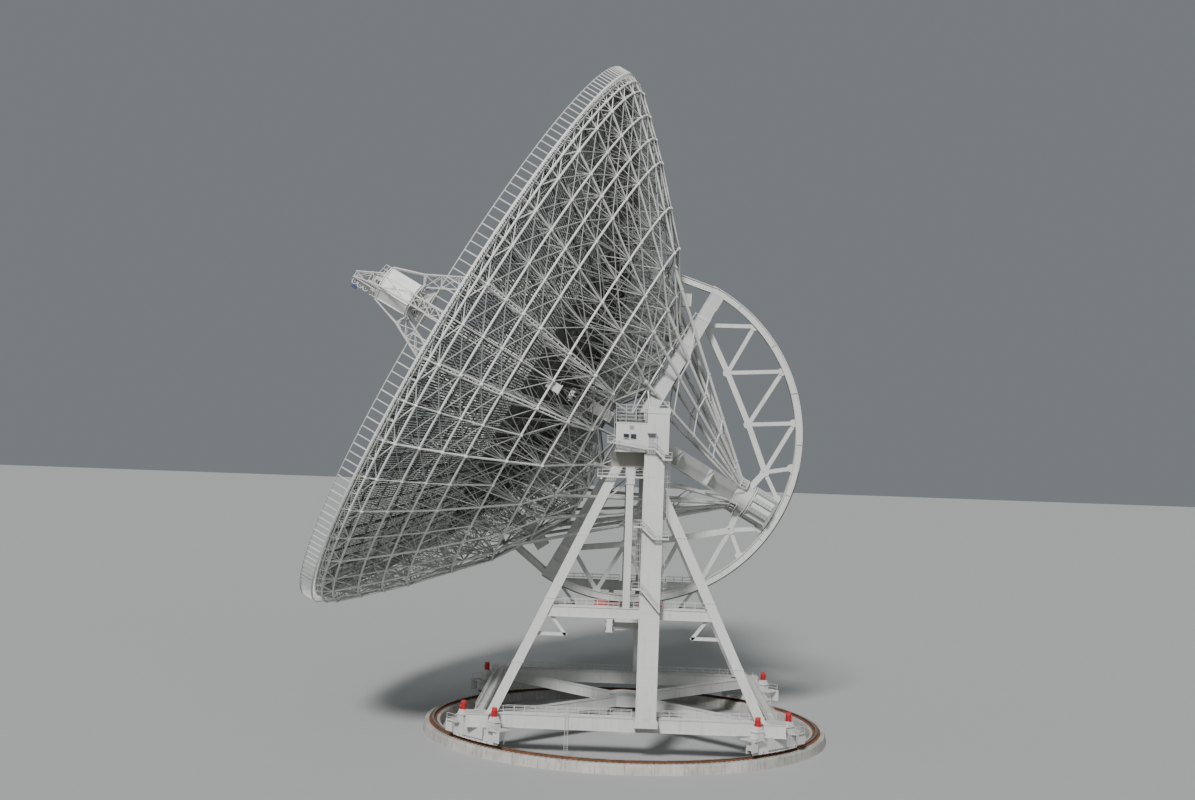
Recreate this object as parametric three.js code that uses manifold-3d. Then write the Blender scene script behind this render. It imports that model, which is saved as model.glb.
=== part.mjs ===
import * as THREE from 'three';
import { mergeVertices } from 'three/addons/utils/BufferGeometryUtils.js';
import Module from 'manifold-3d';

// A 1:10 model of a fully steerable radio telescope with a 100 m dish.
// Every length below is in metres of the real telescope; M turns it into model millimetres.
// +Z is up, the ground is at Z = 0, the azimuth axis is the Z axis, the elevation axis runs
// along X, and the dish looks towards -Y.
const M = 100;
const GAP = 0.004;

// Driving dimensions
const AXIS_HEIGHT = 50;
const REST_ELEVATION = 29;
const CORNER = 22.6;
const RAIL_TOP = 1.9;
const PIN_RADIUS = 0.95;
const BASE_BOTTOM = 4.3;
const BASE_TOP = 6.3;
const TIE_BOTTOM = 21.4;
const TIE_TOP = 22.9;
const HEAD_BOTTOM = 44.6;
const TRUNNION_RADIUS = 0.9;
const TRUNNION_SIDES = 20;
const JOINT_INNER = 17.4;
const JOINT_OUTER = 19.8;

const DISH_RADIUS = 50;
const RIM_RADIUS = 51.2;
const FENCE_HEIGHT = 2.4;
const VERTEX = 10;
const FOCAL_LENGTH = 30;
const PANEL_DEPTH = 0.15;
const RIB_HALF = 0.16;
const HUB_FLOOR = 6.0;
const FRONT_STATIONS = [7, 17, 27.5, 35, 42.5, 50];

// The rear edge of a rib as radius and height pairs. The ribs beside the bearings are
// shallower, to pass over the machine houses on the towers.
const OUTER_REAR = [[30.5, 9.3], [36, 14.3], [41.2, 19], [46, 23.9], [50, 28.2]];
const REAR_NODES = [[7, 6.2], [18.5, 1.75], [24.4, 5.5], ...OUTER_REAR];
const BEARING_REAR = [[7, 6.2], [14, 5.6], [20.2, 5.95], ...OUTER_REAR];
const BEARING_RIBS = [0, 11, 12, 23];
const CHORD_DEPTH = 0.4;
const RING_SIZE = 0.3;
// Each ring of bars as radius, height and the lean of its bars
const RINGS = [[18.3, 1.85, 100], [30.5, 9.3, 125], [38.6, 16.65, 133], [48, 26.05, 133]];

const WHEEL_OUTER = 28.4;
const WHEEL_INNER = 26.5;
const WHEEL_HALF = 0.85;
const WHEEL_OVERRUN = 13;
const HUB_RADIUS = 2.4;
const HUB_FRONT = -19.2;
const HUB_REAR = -22.2;

const rad = (degrees) => degrees * Math.PI / 180;
const surface = (r) => VERTEX + r * r / (4 * FOCAL_LENGTH);

const PAINT = { white: 0xd9d8d2, grey: 0xb4b6b6, red: 0xb3262b, concrete: 0x8d8a83, rust: 0x7a4a33 };

function material(kind) {
  const metal = kind === 'rust' ? 0.6 : 0.15;
  const rough = kind === 'concrete' ? 0.95 : 0.55;
  return new THREE.MeshStandardMaterial({ color: PAINT[kind], metalness: metal, roughness: rough });
}

// Solids: a closed three.js geometry becomes a manifold that can be joined and cut

const wasm = await Module();
wasm.setup();

function signedVolume(position, index) {
  let sum = 0;
  for (let i = 0; i < index.length; i += 3) {
    const [a, b, c] = [index[i] * 3, index[i + 1] * 3, index[i + 2] * 3];
    sum += position[a] * (position[b + 1] * position[c + 2] - position[b + 2] * position[c + 1]);
    sum -= position[a + 1] * (position[b] * position[c + 2] - position[b + 2] * position[c]);
    sum += position[a + 2] * (position[b] * position[c + 1] - position[b + 1] * position[c]);
  }
  return sum / 6;
}

function solid(geometry) {
  const bare = geometry.clone();
  bare.deleteAttribute('normal');
  bare.deleteAttribute('uv');
  const merged = mergeVertices(bare, 1e-3);
  const vertProperties = new Float32Array(merged.attributes.position.array);
  const triVerts = new Uint32Array(merged.index.array);
  if (signedVolume(vertProperties, triVerts) < 0) {
    triVerts.reverse();
  }
  return new wasm.Manifold(new wasm.Mesh({ numProp: 3, vertProperties, triVerts }));
}

function join(solids) {
  let queue = [...solids];
  while (queue.length > 1) {
    const next = [];
    for (let i = 0; i < queue.length; i += 2) {
      next.push(i + 1 < queue.length ? queue[i].add(queue[i + 1]) : queue[i]);
    }
    queue = next;
  }
  return queue[0];
}

function piece(name, body, kind) {
  const mesh = body.getMesh();
  const geometry = new THREE.BufferGeometry();
  geometry.setAttribute('position', new THREE.BufferAttribute(new Float32Array(mesh.vertProperties), 3));
  geometry.setIndex(new THREE.BufferAttribute(new Uint32Array(mesh.triVerts), 1));
  geometry.computeVertexNormals();
  const part = new THREE.Mesh(geometry, material(kind));
  part.name = name;
  return part;
}

// Basic shapes

const vec = (p) => new THREE.Vector3(p[0] * M, p[1] * M, p[2] * M);

function block(x0, x1, y0, y1, z0, z1) {
  const g = new THREE.BoxGeometry((x1 - x0) * M, (y1 - y0) * M, (z1 - z0) * M);
  g.translate((x0 + x1) / 2 * M, (y0 + y1) / 2 * M, (z0 + z1) / 2 * M);
  return solid(g);
}

function aimed(geometry, a, b, up) {
  const from = vec(a);
  const to = vec(b);
  const z = to.clone().sub(from).normalize();
  const hint = new THREE.Vector3(up[0], up[1], up[2]);
  const x = hint.clone().cross(z).normalize();
  const y = z.clone().cross(x);
  const matrix = new THREE.Matrix4().makeBasis(x, y, z);
  matrix.setPosition(from.add(to).multiplyScalar(0.5));
  return solid(geometry).transform(matrix.elements);
}

// A straight square bar from a to b; up is the direction its height is measured in
function beam(a, b, width, height, up = [0, 0, 1]) {
  const length = vec(a).distanceTo(vec(b));
  return aimed(new THREE.BoxGeometry(width * M, height * M, length), a, b, up);
}

function pipe(a, b, radius, sides = 8, up = [0, 0, 1]) {
  const length = vec(a).distanceTo(vec(b));
  const g = new THREE.CylinderGeometry(radius * M, radius * M, length, sides);
  g.rotateX(Math.PI / 2);
  return aimed(g, a, b, up);
}

// A body with six faces from four bottom and four top corners, both anticlockwise from above
function hexa(bottom, top) {
  const points = [...bottom, ...top].map((p) => p.map((c) => c * M));
  const faces = [[0, 2, 1], [0, 3, 2], [4, 5, 6], [4, 6, 7]];
  for (let i = 0; i < 4; i += 1) {
    const j = (i + 1) % 4;
    faces.push([i, j, 4 + j], [i, 4 + j, 4 + i]);
  }
  const g = new THREE.BufferGeometry();
  g.setAttribute('position', new THREE.Float32BufferAttribute(points.flat(), 3));
  g.setIndex(faces.flat());
  return solid(g);
}

function rectangle(x, y, z, halfX, halfY) {
  const [x0, x1] = [x - halfX, x + halfX];
  const [y0, y1] = [y - halfY, y + halfY];
  return [[x0, y0, z], [x1, y0, z], [x1, y1, z], [x0, y1, z]];
}

// A leaning post with level ends
function post(foot, head, halfX, halfY) {
  return hexa(rectangle(...foot, halfX, halfY), rectangle(...head, halfX, halfY));
}

// A ring about Z from a closed profile of [radius, height] pairs
function turned(profile, sides, start = 0) {
  const points = profile.map(([r, z]) => new THREE.Vector2(r * M, z * M));
  points.push(points[0].clone());
  const g = new THREE.LatheGeometry(points, sides, start, Math.PI * 2);
  g.rotateX(Math.PI / 2);
  return solid(g);
}

// Outline points that lie straight between their neighbours are left out
function withoutStraightPoints(outline) {
  return outline.filter((p, i) => {
    const a = outline[(i + outline.length - 1) % outline.length];
    const b = outline[(i + 1) % outline.length];
    return Math.abs((p[0] - a[0]) * (b[1] - a[1]) - (p[1] - a[1]) * (b[0] - a[0])) > 1e-6;
  });
}

// A flat plate with holes, drawn in X and Y and given thickness along Z
function flatPlate(outline, holes, half) {
  const corners = withoutStraightPoints(outline);
  const shape = new THREE.Shape(corners.map(([x, y]) => new THREE.Vector2(x * M, y * M)));
  const g = new THREE.ExtrudeGeometry(shape, { depth: 2 * half * M, bevelEnabled: false });
  g.translate(0, 0, -half * M);
  const cuts = holes.map((hole) => flatPlate(hole, [], half * 1.5));
  return cuts.length > 0 ? solid(g).subtract(join(cuts)) : solid(g);
}

// The same plate stood up so that its X and Y lie along two given directions
function plate(outline, holes, half, xAxis, yAxis) {
  const x = new THREE.Vector3(...xAxis);
  const y = new THREE.Vector3(...yAxis);
  const matrix = new THREE.Matrix4().makeBasis(x, y, x.clone().cross(y));
  return flatPlate(outline, holes, half).transform(matrix.elements);
}

// The triangle inside abc whose sides lie half a bar in from the lines between the nodes
function cell(a, b, c, inset) {
  const corners = [a, b, c].map(([x, y]) => new THREE.Vector2(x, y));
  const area = corners[1].clone().sub(corners[0]).cross(corners[2].clone().sub(corners[0]));
  const order = area > 0 ? corners : [corners[0], corners[2], corners[1]];
  const lines = order.map((p, i) => {
    const q = order[(i + 1) % 3];
    const along = q.clone().sub(p).normalize();
    const inward = new THREE.Vector2(-along.y, along.x);
    return { point: p.clone().addScaledVector(inward, inset), along };
  });
  return lines.map((line, i) => {
    const other = lines[(i + 1) % 3];
    const step = other.point.clone().sub(line.point).cross(other.along) / line.along.cross(other.along);
    const corner = line.point.clone().addScaledVector(line.along, step);
    return [corner.x, corner.y];
  });
}

// A curved box between two radii, two heights and two angles
function arcBox(r0, r1, z0, z1, from, to, steps) {
  const outline = [];
  for (let i = 0; i <= steps; i += 1) {
    const a = rad(from + (to - from) * i / steps);
    outline.push([r1 * Math.cos(a), r1 * Math.sin(a)]);
  }
  for (let i = steps; i >= 0; i -= 1) {
    const a = rad(from + (to - from) * i / steps);
    outline.push([r0 * Math.cos(a), r0 * Math.sin(a)]);
  }
  const body = plate(outline, [], (z1 - z0) / 2, [1, 0, 0], [0, 1, 0]);
  return body.translate([0, 0, (z0 + z1) / 2 * M]);
}

// Foundation, rail and pintle

function foundation() {
  return turned([[30.6, 0], [33.6, 0], [33.4, 1.5], [30.8, 1.5]], 48);
}

function rail() {
  return turned([[31.6, 1.5 + GAP], [32.4, 1.5 + GAP], [32.15, RAIL_TOP], [31.85, RAIL_TOP]], 48);
}

function pintle() {
  const pin = PIN_RADIUS;
  const top = BASE_TOP - 0.5;
  return turned([[0, 0], [3.2, 0], [2.9, 3.6], [pin, 3.6], [pin, top], [0, top]], 20);
}

// Azimuth trucks: eight wheels in a row under a curved box, with two drive housings

const WHEEL_STEP = 2.3;
const TRUCK_WHEELS = 8;
const TRUCK_WHEEL_RADIUS = 0.55;

function truck(angle) {
  const half = WHEEL_STEP * TRUCK_WHEELS / 2;
  const bodies = [arcBox(31.3, 32.7, 2.6, BASE_BOTTOM - GAP, angle - half, angle + half, 4)];
  const axle = RAIL_TOP + TRUCK_WHEEL_RADIUS + GAP;
  for (let i = 0; i < TRUCK_WHEELS; i += 1) {
    const a = rad(angle + (i - (TRUCK_WHEELS - 1) / 2) * WHEEL_STEP);
    const out = [Math.cos(a), Math.sin(a)];
    const inner = [31.85 * out[0], 31.85 * out[1], axle];
    const outer = [32.15 * out[0], 32.15 * out[1], axle];
    bodies.push(pipe(inner, outer, TRUCK_WHEEL_RADIUS, 8));
  }
  return join([...bodies, ...truckDrive(angle)]);
}

function truckDrive(angle) {
  const c = Math.cos(rad(angle));
  const s = Math.sin(rad(angle));
  const at = (r, t, z) => [r * c - t * s, r * s + t * c, z];
  const bodies = [];
  for (const t of [-3.7, 3.7]) {
    bodies.push(hexa(
      [at(31.2, t - 0.8, 4.0), at(32.5, t - 0.8, 4.0), at(32.5, t + 0.8, 4.0), at(31.2, t + 0.8, 4.0)],
      [at(31.4, t - 0.5, 6.2), at(32.3, t - 0.5, 6.2), at(32.3, t + 0.5, 6.2), at(31.4, t + 0.5, 6.2)],
    ));
    bodies.push(pipe(at(31.85, t, 6.1), at(31.85, t, 7.5), 0.38, 8, [1, 0, 0]));
  }
  return bodies;
}

// Base frame: a square of girders, diagonals to the pintle, and brackets for the lift columns

function baseFrame() {
  const c = CORNER;
  const bodies = [];
  for (const [ax, ay, bx, by] of [[-1, -1, 1, -1], [1, -1, 1, 1], [1, 1, -1, 1], [-1, 1, -1, -1]]) {
    bodies.push(beam([ax * c, ay * c, 5.3], [bx * c, by * c, 5.3], 1.4, 2.0));
  }
  for (const [x, y] of [[1, 1], [1, -1]]) {
    bodies.push(beam([x * c, y * c, 5.2], [-x * c, -y * c, 5.2], 1.1, 1.6));
  }
  for (const [x, y] of [[1, 1], [1, -1], [-1, 1], [-1, -1]]) {
    bodies.push(block(x * c - 1.7, x * c + 1.7, y * c - 1.7, y * c + 1.7, BASE_BOTTOM, BASE_TOP));
  }
  for (const side of [1, -1]) {
    const x0 = side > 0 ? 22.0 : -25.6;
    bodies.push(block(x0, x0 + 3.6, 1.2, 4.8, 5.3, BASE_TOP));
  }
  bodies.push(turned([[0, BASE_BOTTOM], [2.6, BASE_BOTTOM], [2.6, BASE_TOP], [0, BASE_TOP]], 16));
  const r = (PIN_RADIUS + 0.005) / Math.cos(Math.PI / 20);
  const bore = turned([[0, 3.8], [r, 3.8], [r, BASE_TOP - 0.4], [0, BASE_TOP - 0.4]], 20, Math.PI / 20);
  return join(bodies).subtract(bore);
}

// Towers

const legY = (z) => CORNER * (AXIS_HEIGHT - z) / (AXIS_HEIGHT - 2);
const legX = (z) => 21.7 + 0.9 * (HEAD_BOTTOM - z) / (HEAD_BOTTOM - BASE_TOP);

function towerLeg(side, way) {
  const foot = [side * legX(BASE_TOP), way * legY(BASE_TOP), BASE_TOP + GAP];
  const head = [side * legX(HEAD_BOTTOM), way * legY(HEAD_BOTTOM), HEAD_BOTTOM - GAP];
  return post(foot, head, 0.8, 0.82);
}

function towerColumn(side) {
  const inner = 22.75;
  const outer = 25.4;
  const x = side > 0 ? [inner, outer] : [-outer, -inner];
  return block(x[0], x[1], 1.45, 4.55, BASE_TOP + GAP, 46.7 - GAP);
}

function towerStrut(side) {
  return post([side * 21.9, -0.55, TIE_TOP + GAP], [side * 21.7, -0.55, HEAD_BOTTOM - GAP], 0.6, 0.55);
}

function tieBeam(side) {
  const reach = (z) => legY(z) - 0.82 - GAP;
  const x = side * 22.05;
  const low = rectangle(x, 0, TIE_BOTTOM, 0.65, reach(TIE_BOTTOM));
  const high = rectangle(x, 0, TIE_TOP, 0.65, reach(TIE_TOP));
  return hexa(low, high);
}

function bearingHouse(side) {
  const span = (a, b) => (side > 0 ? [a, b] : [-b, -a]);
  const [a0, a1] = span(20.3, 25.4);
  const [b0, b1] = span(20.9, 22.5);
  const low = block(a0, a1, -3.0, 1.8, 47.0, 51.3);
  const tall = block(a0, a1, 1.7, 5.1, 46.7, 53.5);
  const head = block(b0, b1, -3.5, 3.5, HEAD_BOTTOM, 47.1);
  const boreRadius = (TRUNNION_RADIUS + 0.005) / Math.cos(Math.PI / TRUNNION_SIDES);
  const [inner, outer] = [20.0, 22.9].map((x) => [side * x, 0, AXIS_HEIGHT]);
  const bore = pipe(inner, outer, boreRadius, TRUNNION_SIDES);
  return join([low, tall, head, gallery(side)]).subtract(bore);
}

function gallery(side) {
  const span = (a, b) => (side > 0 ? [a, b] : [-b, -a]);
  const deck = block(...span(25.3, 26.5), -4.0, 5.1, 46.9, 47.05);
  const edge = span(26.42, 26.5);
  const handrail = block(...edge, -4.0, 5.1, 48.1, 48.18);
  const posts = [-4.0, -1.7, 0.6, 2.9, 5.02].map((y) => block(...edge, y, y + 0.08, 47.0, 48.15));
  return join([deck, handrail, ...posts]);
}

// Drive bridge under the elevation wheel

function driveBridge() {
  const bodies = [];
  for (const y of [-3.0, 3.0]) {
    bodies.push(block(-22.7, 22.7, y - 0.45, y + 0.45, 19.2, 20.4));
    for (const x of [-22.05, 22.05]) {
      bodies.push(block(x - 0.65, x + 0.65, y - 0.45, y + 0.45, 20.3, TIE_BOTTOM - GAP));
    }
  }
  for (const x of [-18, -12, -6, 0, 6, 12, 18]) {
    bodies.push(block(x - 0.3, x + 0.3, -2.8, 2.8, 19.5, 20.2));
  }
  return join(bodies);
}

function elevationDrives() {
  const bodies = [block(-3.4, 3.4, -5.8, 5.8, 20.4 + GAP, 20.6)];
  const distance = WHEEL_OUTER + 0.3 + 0.08 + 0.45;
  for (const y of [-4.4, 4.4]) {
    const z = AXIS_HEIGHT - Math.sqrt(distance * distance - y * y);
    bodies.push(pipe([-1.6, y, z], [1.6, y, z], 0.45, 12));
    for (const side of [-1, 1]) {
      bodies.push(block(side * 2.2 - 0.9, side * 2.2 + 0.9, y - 1.2, y + 1.2, 20.55, 22.1));
    }
  }
  return join(bodies);
}

// Tilting structure, in its own frame: +Z is the way the dish looks, X is the elevation axis

function trunnion(side) {
  return pipe([side * (JOINT_OUTER + GAP), 0, 0], [side * 22.7, 0, 0], TRUNNION_RADIUS, TRUNNION_SIDES);
}

const TOP_INNER = 22.8;
const TOP_OUTER = WHEEL_INNER * Math.cos(rad(3)) - GAP;

// Two box arms from the joints at the trunnions to a joint block under the wheel
function wheelArms(way) {
  const bodies = [];
  const y0 = Math.min(way * TOP_INNER, way * TOP_OUTER);
  const y1 = Math.max(way * TOP_INNER, way * TOP_OUTER);
  bodies.push(block(-1.6, 1.6, y0, y1, -1.7, 1.7));
  for (const side of [-1, 1]) {
    bodies.push(beam([side * 18.2, way * 1.6, 0], [side * 0.6, way * 24.4, 0], 2.4, 2.5, [0, 0, 1]));
  }
  const keepOut = join([-1, 1].map((side) => jointBox(side, GAP)));
  return join(bodies).subtract(keepOut);
}

function jointBox(side, grow) {
  const x0 = side > 0 ? JOINT_INNER : -JOINT_OUTER;
  const x1 = side > 0 ? JOINT_OUTER : -JOINT_INNER;
  const reach = 2.0 + grow;
  return block(x0 - grow, x1 + grow, -reach, reach, -reach, reach);
}

// A round block on the dish axis
function hubDrum(radius, low, high) {
  return turned([[0, low], [radius, low], [radius, high], [0, high]], 20);
}

// Rear arms: from the trunnion joints to the hub that carries the counterweight
function rearArms() {
  const bodies = [hubDrum(HUB_RADIUS, HUB_REAR + GAP, HUB_FRONT)];
  for (const side of [-1, 1]) {
    const outline = [[side * 16.4, -2.2], [side * 19.2, 0.2], [side * 2.6, -19.3], [side * 0.6, -21.2]];
    bodies.push(plateBetween(outline, 1.35));
    bodies.push(jointBox(side, 0));
  }
  return join(bodies);
}

// A plate drawn in X and Z with thickness along Y
function plateBetween(outline, half) {
  return plate(outline, [], half, [1, 0, 0], [0, 0, 1]);
}

// Centre hub under the dish vertex, with an arm to each trunnion joint
function centreHub() {
  const outer = FRONT_STATIONS[0] - 0.006;
  const ring = [[3.4, HUB_FLOOR], [outer, HUB_FLOOR], [outer, 9.6], [3.4, 9.6]];
  const plinth = [[0, HUB_FLOOR], [3.6, HUB_FLOOR], [3.6, HUB_FLOOR + 0.6], [0, HUB_FLOOR + 0.6]];
  const hub = turned(ring, 24, rad(7.5));
  const floor = turned(plinth, 24, rad(7.5));
  const bodies = [hub, floor];
  for (const side of [-1, 1]) {
    bodies.push(beam([side * 18.0, 0, 0.6], [side * 5.0, 0, 6.7], 1.2, 1.3, [0, 1, 0]));
  }
  return join(bodies).subtract(join([jointBox(1, GAP), jointBox(-1, GAP)]));
}

// Elevation wheel: a box ring with an inner chord and a zigzag of web bars

const wheelPoint = (angle, r) => [r * Math.sin(rad(angle)), -r * Math.cos(rad(angle))];

function wheelRing(way) {
  const angles = [0.02, 90 + WHEEL_OVERRUN];
  for (let a = 3; a < 100; a += 6) {
    angles.splice(-1, 0, a);
  }
  const outer = angles.map((a) => wheelPoint(way * a, WHEEL_OUTER));
  const inner = angles.map((a) => wheelPoint(way * a, WHEEL_INNER));
  const outline = [...outer, ...inner.reverse()];
  return plate(outline, [], WHEEL_HALF, [0, 1, 0], [0, 0, 1]);
}

const CHORD = [[22.9, -2.0], [17.2, -7.9], [11.4, -15.2], [5.8, -21.6]];
const RIM_NODES = [[26.0, -8.2], [21.9, -16.2], [15.4, -22.4], [8.6, -25.9], [2.9, -26.4]];
const WEBS = [[0, 0], [1, 0], [1, 1], [2, 1], [2, 2], [3, 2], [3, 3], [3, 4]];

function wheelTruss(way) {
  const bodies = [wheelRing(way)];
  const node = ([y, z]) => [0, way * y, z];
  const bar = (a, b, size) => bodies.push(beam(node(a), node(b), size, size, [1, 0, 0]));
  bar([24.4, -0.5], CHORD[1], 0.8);
  for (let i = 1; i < CHORD.length - 1; i += 1) {
    bar(CHORD[i], CHORD[i + 1], 0.8);
  }
  bar(CHORD[3], [1.6, -21.4], 0.8);
  for (const [c, r] of WEBS) {
    bar(CHORD[c], RIM_NODES[r], 0.6);
  }
  const drumSpace = 3.1 + GAP;
  const [y0, y1] = [20, TOP_OUTER + GAP].map((y) => way * y).sort((a, b) => a - b);
  const keepOut = [
    hubDrum(HUB_RADIUS + GAP, HUB_REAR, HUB_FRONT + GAP),
    turned([[0, -26.45 - GAP], [drumSpace, -26.45 - GAP], [drumSpace, -19], [0, -19]], 24),
    block(-1.7, 1.7, y0, y1, -1.7 - GAP, 2.0),
  ];
  return join(bodies).subtract(join(keepOut));
}

function gearRack() {
  const outline = [];
  const steps = 38;
  const from = -96;
  const to = 18;
  for (let i = 0; i <= steps; i += 1) {
    outline.push(wheelPoint(from + (to - from) * i / steps, WHEEL_OUTER + 0.3));
  }
  for (let i = steps; i >= 0; i -= 1) {
    outline.push(wheelPoint(from + (to - from) * i / steps, WHEEL_OUTER + GAP));
  }
  return plate(outline, [], 0.3, [0, 1, 0], [0, 0, 1]);
}

// Counterweight: a drum on the axis with slabs along its sides

function counterweight() {
  const rear = -26.45;
  const neck = [[2.55, rear], [2.55, -22.7], [2.95, -22.7], [2.95, HUB_REAR]];
  const bodies = [turned([[0, rear], ...neck, [0, HUB_REAR]], 20)];
  for (let i = 0; i < 10; i += 1) {
    const a = rad(36 * i + 18);
    const out = (r, z) => [r * Math.cos(a), r * Math.sin(a), z];
    bodies.push(beam(out(2.6, -22.6), out(2.6, rear + 0.1), 0.55, 0.6, [Math.cos(a), Math.sin(a), 0]));
  }
  return join(bodies);
}

// Cone of tubes from the hub to the ribs, with a head radius for each tube

const UMBRELLA_HEADS = [24.4, 24.4, 28.6, 19.8, 19.8, 28.6, 24.4, 24.4];

// The height of a deep rib's rear edge at a radius
function rearHeight(r) {
  const i = REAR_NODES.findIndex(([radius]) => radius >= r);
  const [r0, z0] = REAR_NODES[i - 1];
  const [r1, z1] = REAR_NODES[i];
  return z0 + (z1 - z0) * (r - r0) / (r1 - r0);
}

// The space over a rib's rear edge, which a tube's head stops short of
function overRib(a) {
  const edge = REAR_NODES.slice(0, 5).map(([r, z]) => [r, z - GAP]);
  return plate([...edge, [36, 30], [7, 30]], [], 1.5, [Math.cos(a), Math.sin(a), 0], [0, 0, 1]);
}

function umbrella(way) {
  const bodies = [];
  for (let k = 0; k < 8; k += 1) {
    const a = rad(way * (37.5 + 15 * k));
    const b = rad(way * (48 + 12 * k));
    const end = UMBRELLA_HEADS[k];
    const head = [end * Math.cos(a), end * Math.sin(a), rearHeight(end) + 0.3];
    const foot = [1.9 * Math.cos(b), 1.9 * Math.sin(b), -20.6];
    bodies.push(pipe(foot, head, 0.36, 6, [0, 1, 0]).subtract(overRib(a)));
  }
  const fan = arcBox(1.5, 3.1, -20.9, -19.6, way > 0 ? 40 : 220, way > 0 ? 140 : 320, 8);
  bodies.push(fan);
  return join(bodies).subtract(hubDrum(HUB_RADIUS + GAP, HUB_REAR - 1, HUB_FRONT + 1));
}

// Dish panels: a thin bowl in quadrants, notched where the focus legs pass through

const PANEL_STATIONS = [4.6, ...FRONT_STATIONS.slice(1)];

function shell(from, to, steps) {
  const rows = PANEL_STATIONS.length;
  const points = [];
  const add = (r, a, z) => points.push(r * Math.cos(a) * M, r * Math.sin(a) * M, z * M);
  for (const depth of [0, PANEL_DEPTH]) {
    for (let j = 0; j <= steps; j += 1) {
      const a = rad(from + (to - from) * j / steps);
      PANEL_STATIONS.forEach((r) => add(r, a, surface(r) - depth));
    }
  }
  const layer = rows * (steps + 1);
  const faces = [];
  const quad = (a, b, c, d) => faces.push(a, b, c, a, c, d);
  for (let j = 0; j < steps; j += 1) {
    for (let i = 0; i < rows - 1; i += 1) {
      const a = j * rows + i;
      quad(a, a + 1, a + rows + 1, a + rows);
      quad(layer + a, layer + a + rows, layer + a + rows + 1, layer + a + 1);
    }
  }
  for (let i = 0; i < rows - 1; i += 1) {
    quad(i, layer + i, layer + i + 1, i + 1);
    const a = steps * rows + i;
    quad(a, a + 1, layer + a + 1, layer + a);
  }
  for (let j = 0; j < steps; j += 1) {
    const a = j * rows;
    quad(a, a + rows, layer + a + rows, layer + a);
    const b = j * rows + rows - 1;
    quad(b, layer + b, layer + b + rows, b + rows);
  }
  const g = new THREE.BufferGeometry();
  g.setAttribute('position', new THREE.Float32BufferAttribute(points, 3));
  g.setIndex(faces);
  return solid(g);
}

function panels(quadrant) {
  const edge = 0.006;
  const body = shell(quadrant * 90 + edge, quadrant * 90 + 90 - edge, 12);
  return body.subtract(join([0, 1, 2, 3].map((leg) => legEnvelope(leg, 0.12))));
}

// Back structure: latticed ribs with rings of bars between them, in quadrants

function rib(k) {
  const a = rad(7.5 + 15 * k);
  const rear = BEARING_RIBS.includes(k) ? BEARING_REAR : REAR_NODES;
  const back = (r) => surface(r) - PANEL_DEPTH - 0.006;
  const front = FRONT_STATIONS.map((r) => [r, back(r)]);
  const outline = [...front, ...[...rear].reverse()];
  const half = CHORD_DEPTH / 2;
  const f = front.map(([r, z]) => [r, z - half]);
  const q = rear.map(([r, z]) => [r, z + half]);
  f[0][0] += half;
  q[0][0] += half;
  f[5] = [49.8, back(49.8) - half];
  q[7] = [49.8, rear[7][1]];
  const cells = [
    [f[0], q[0], q[1]], [f[0], q[1], f[1]], [f[1], q[1], q[2]], [f[1], q[2], f[2]],
    [f[2], q[2], q[3]], [f[2], q[3], f[3]], [f[3], q[3], q[4]], [f[3], q[4], f[4]],
    [f[4], q[4], q[5]], [f[4], q[5], q[6]], [f[4], q[6], f[5]], [f[5], q[6], q[7]],
  ];
  const holes = cells.map(([p0, p1, p2]) => cell(p0, p1, p2, half));
  return plate(outline, holes, RIB_HALF, [Math.cos(a), Math.sin(a), 0], [0, 0, 1]);
}

// One bar of a ring, sunk in the rear chords of two ribs; the last one stops at the next quadrant
function ringBar(k, [r, z, lean], last) {
  const inward = [Math.cos(rad(lean)), Math.sin(rad(lean))];
  const radius = r + inward[0] * CHORD_DEPTH / 2;
  const height = z + inward[1] * CHORD_DEPTH / 2;
  const at = (degrees) => {
    const a = rad(degrees);
    return new THREE.Vector2(radius * Math.cos(a), radius * Math.sin(a));
  };
  const from = at(7.5 + 15 * k);
  const to = at(22.5 + 15 * k);
  const along = to.clone().sub(from).normalize();
  if (last) {
    const stop = (RIB_HALF + GAP) / Math.cos(rad(7.5)) + RING_SIZE * 0.75 * Math.tan(rad(7.5));
    to.addScaledVector(along, -stop);
  }
  const middle = rad(15 + 15 * k);
  const up = [inward[0] * Math.cos(middle), inward[0] * Math.sin(middle), inward[1]];
  return beam([from.x, from.y, height], [to.x, to.y, height], RING_SIZE, RING_SIZE, up);
}

// Whether a ring reaches from rib k to the next; the innermost one needs two deep ribs
function spans(ring, k) {
  return ring > 0 || !(BEARING_RIBS.includes(k) || BEARING_RIBS.includes((k + 1) % 24));
}

function backStructure(quadrant) {
  const bodies = [];
  for (let i = 0; i < 6; i += 1) {
    const k = quadrant * 6 + i;
    bodies.push(rib(k));
    const rings = RINGS.filter((_, ring) => spans(ring, k));
    rings.forEach((ring) => bodies.push(ringBar(k, ring, i === 5)));
  }
  return join(bodies);
}

// Rim walkway: a deck ring, posts and a top rail

function rimWalkway() {
  const low = surface(DISH_RADIUS) - 0.5;
  const high = low + FENCE_HEIGHT;
  const inside = DISH_RADIUS + 0.016;
  const band = (r, z0, z1) => turned([[r, z0], [RIM_RADIUS, z0], [RIM_RADIUS, z1], [r, z1]], 48);
  const bodies = [band(inside, low, low + 0.3), band(RIM_RADIUS - 0.2, high - 0.14, high)];
  for (let i = 0; i < 24; i += 1) {
    const a = rad(7.5 + 15 * i);
    const at = (z) => [(RIM_RADIUS - 0.12) * Math.cos(a), (RIM_RADIUS - 0.12) * Math.sin(a), z];
    bodies.push(beam(at(low + 0.2), at(high - 0.05), 0.13, 0.13, [Math.cos(a), Math.sin(a), 0]));
  }
  return join(bodies);
}

// Focus legs: two latticed side plates with ties, on a box foot

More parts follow.
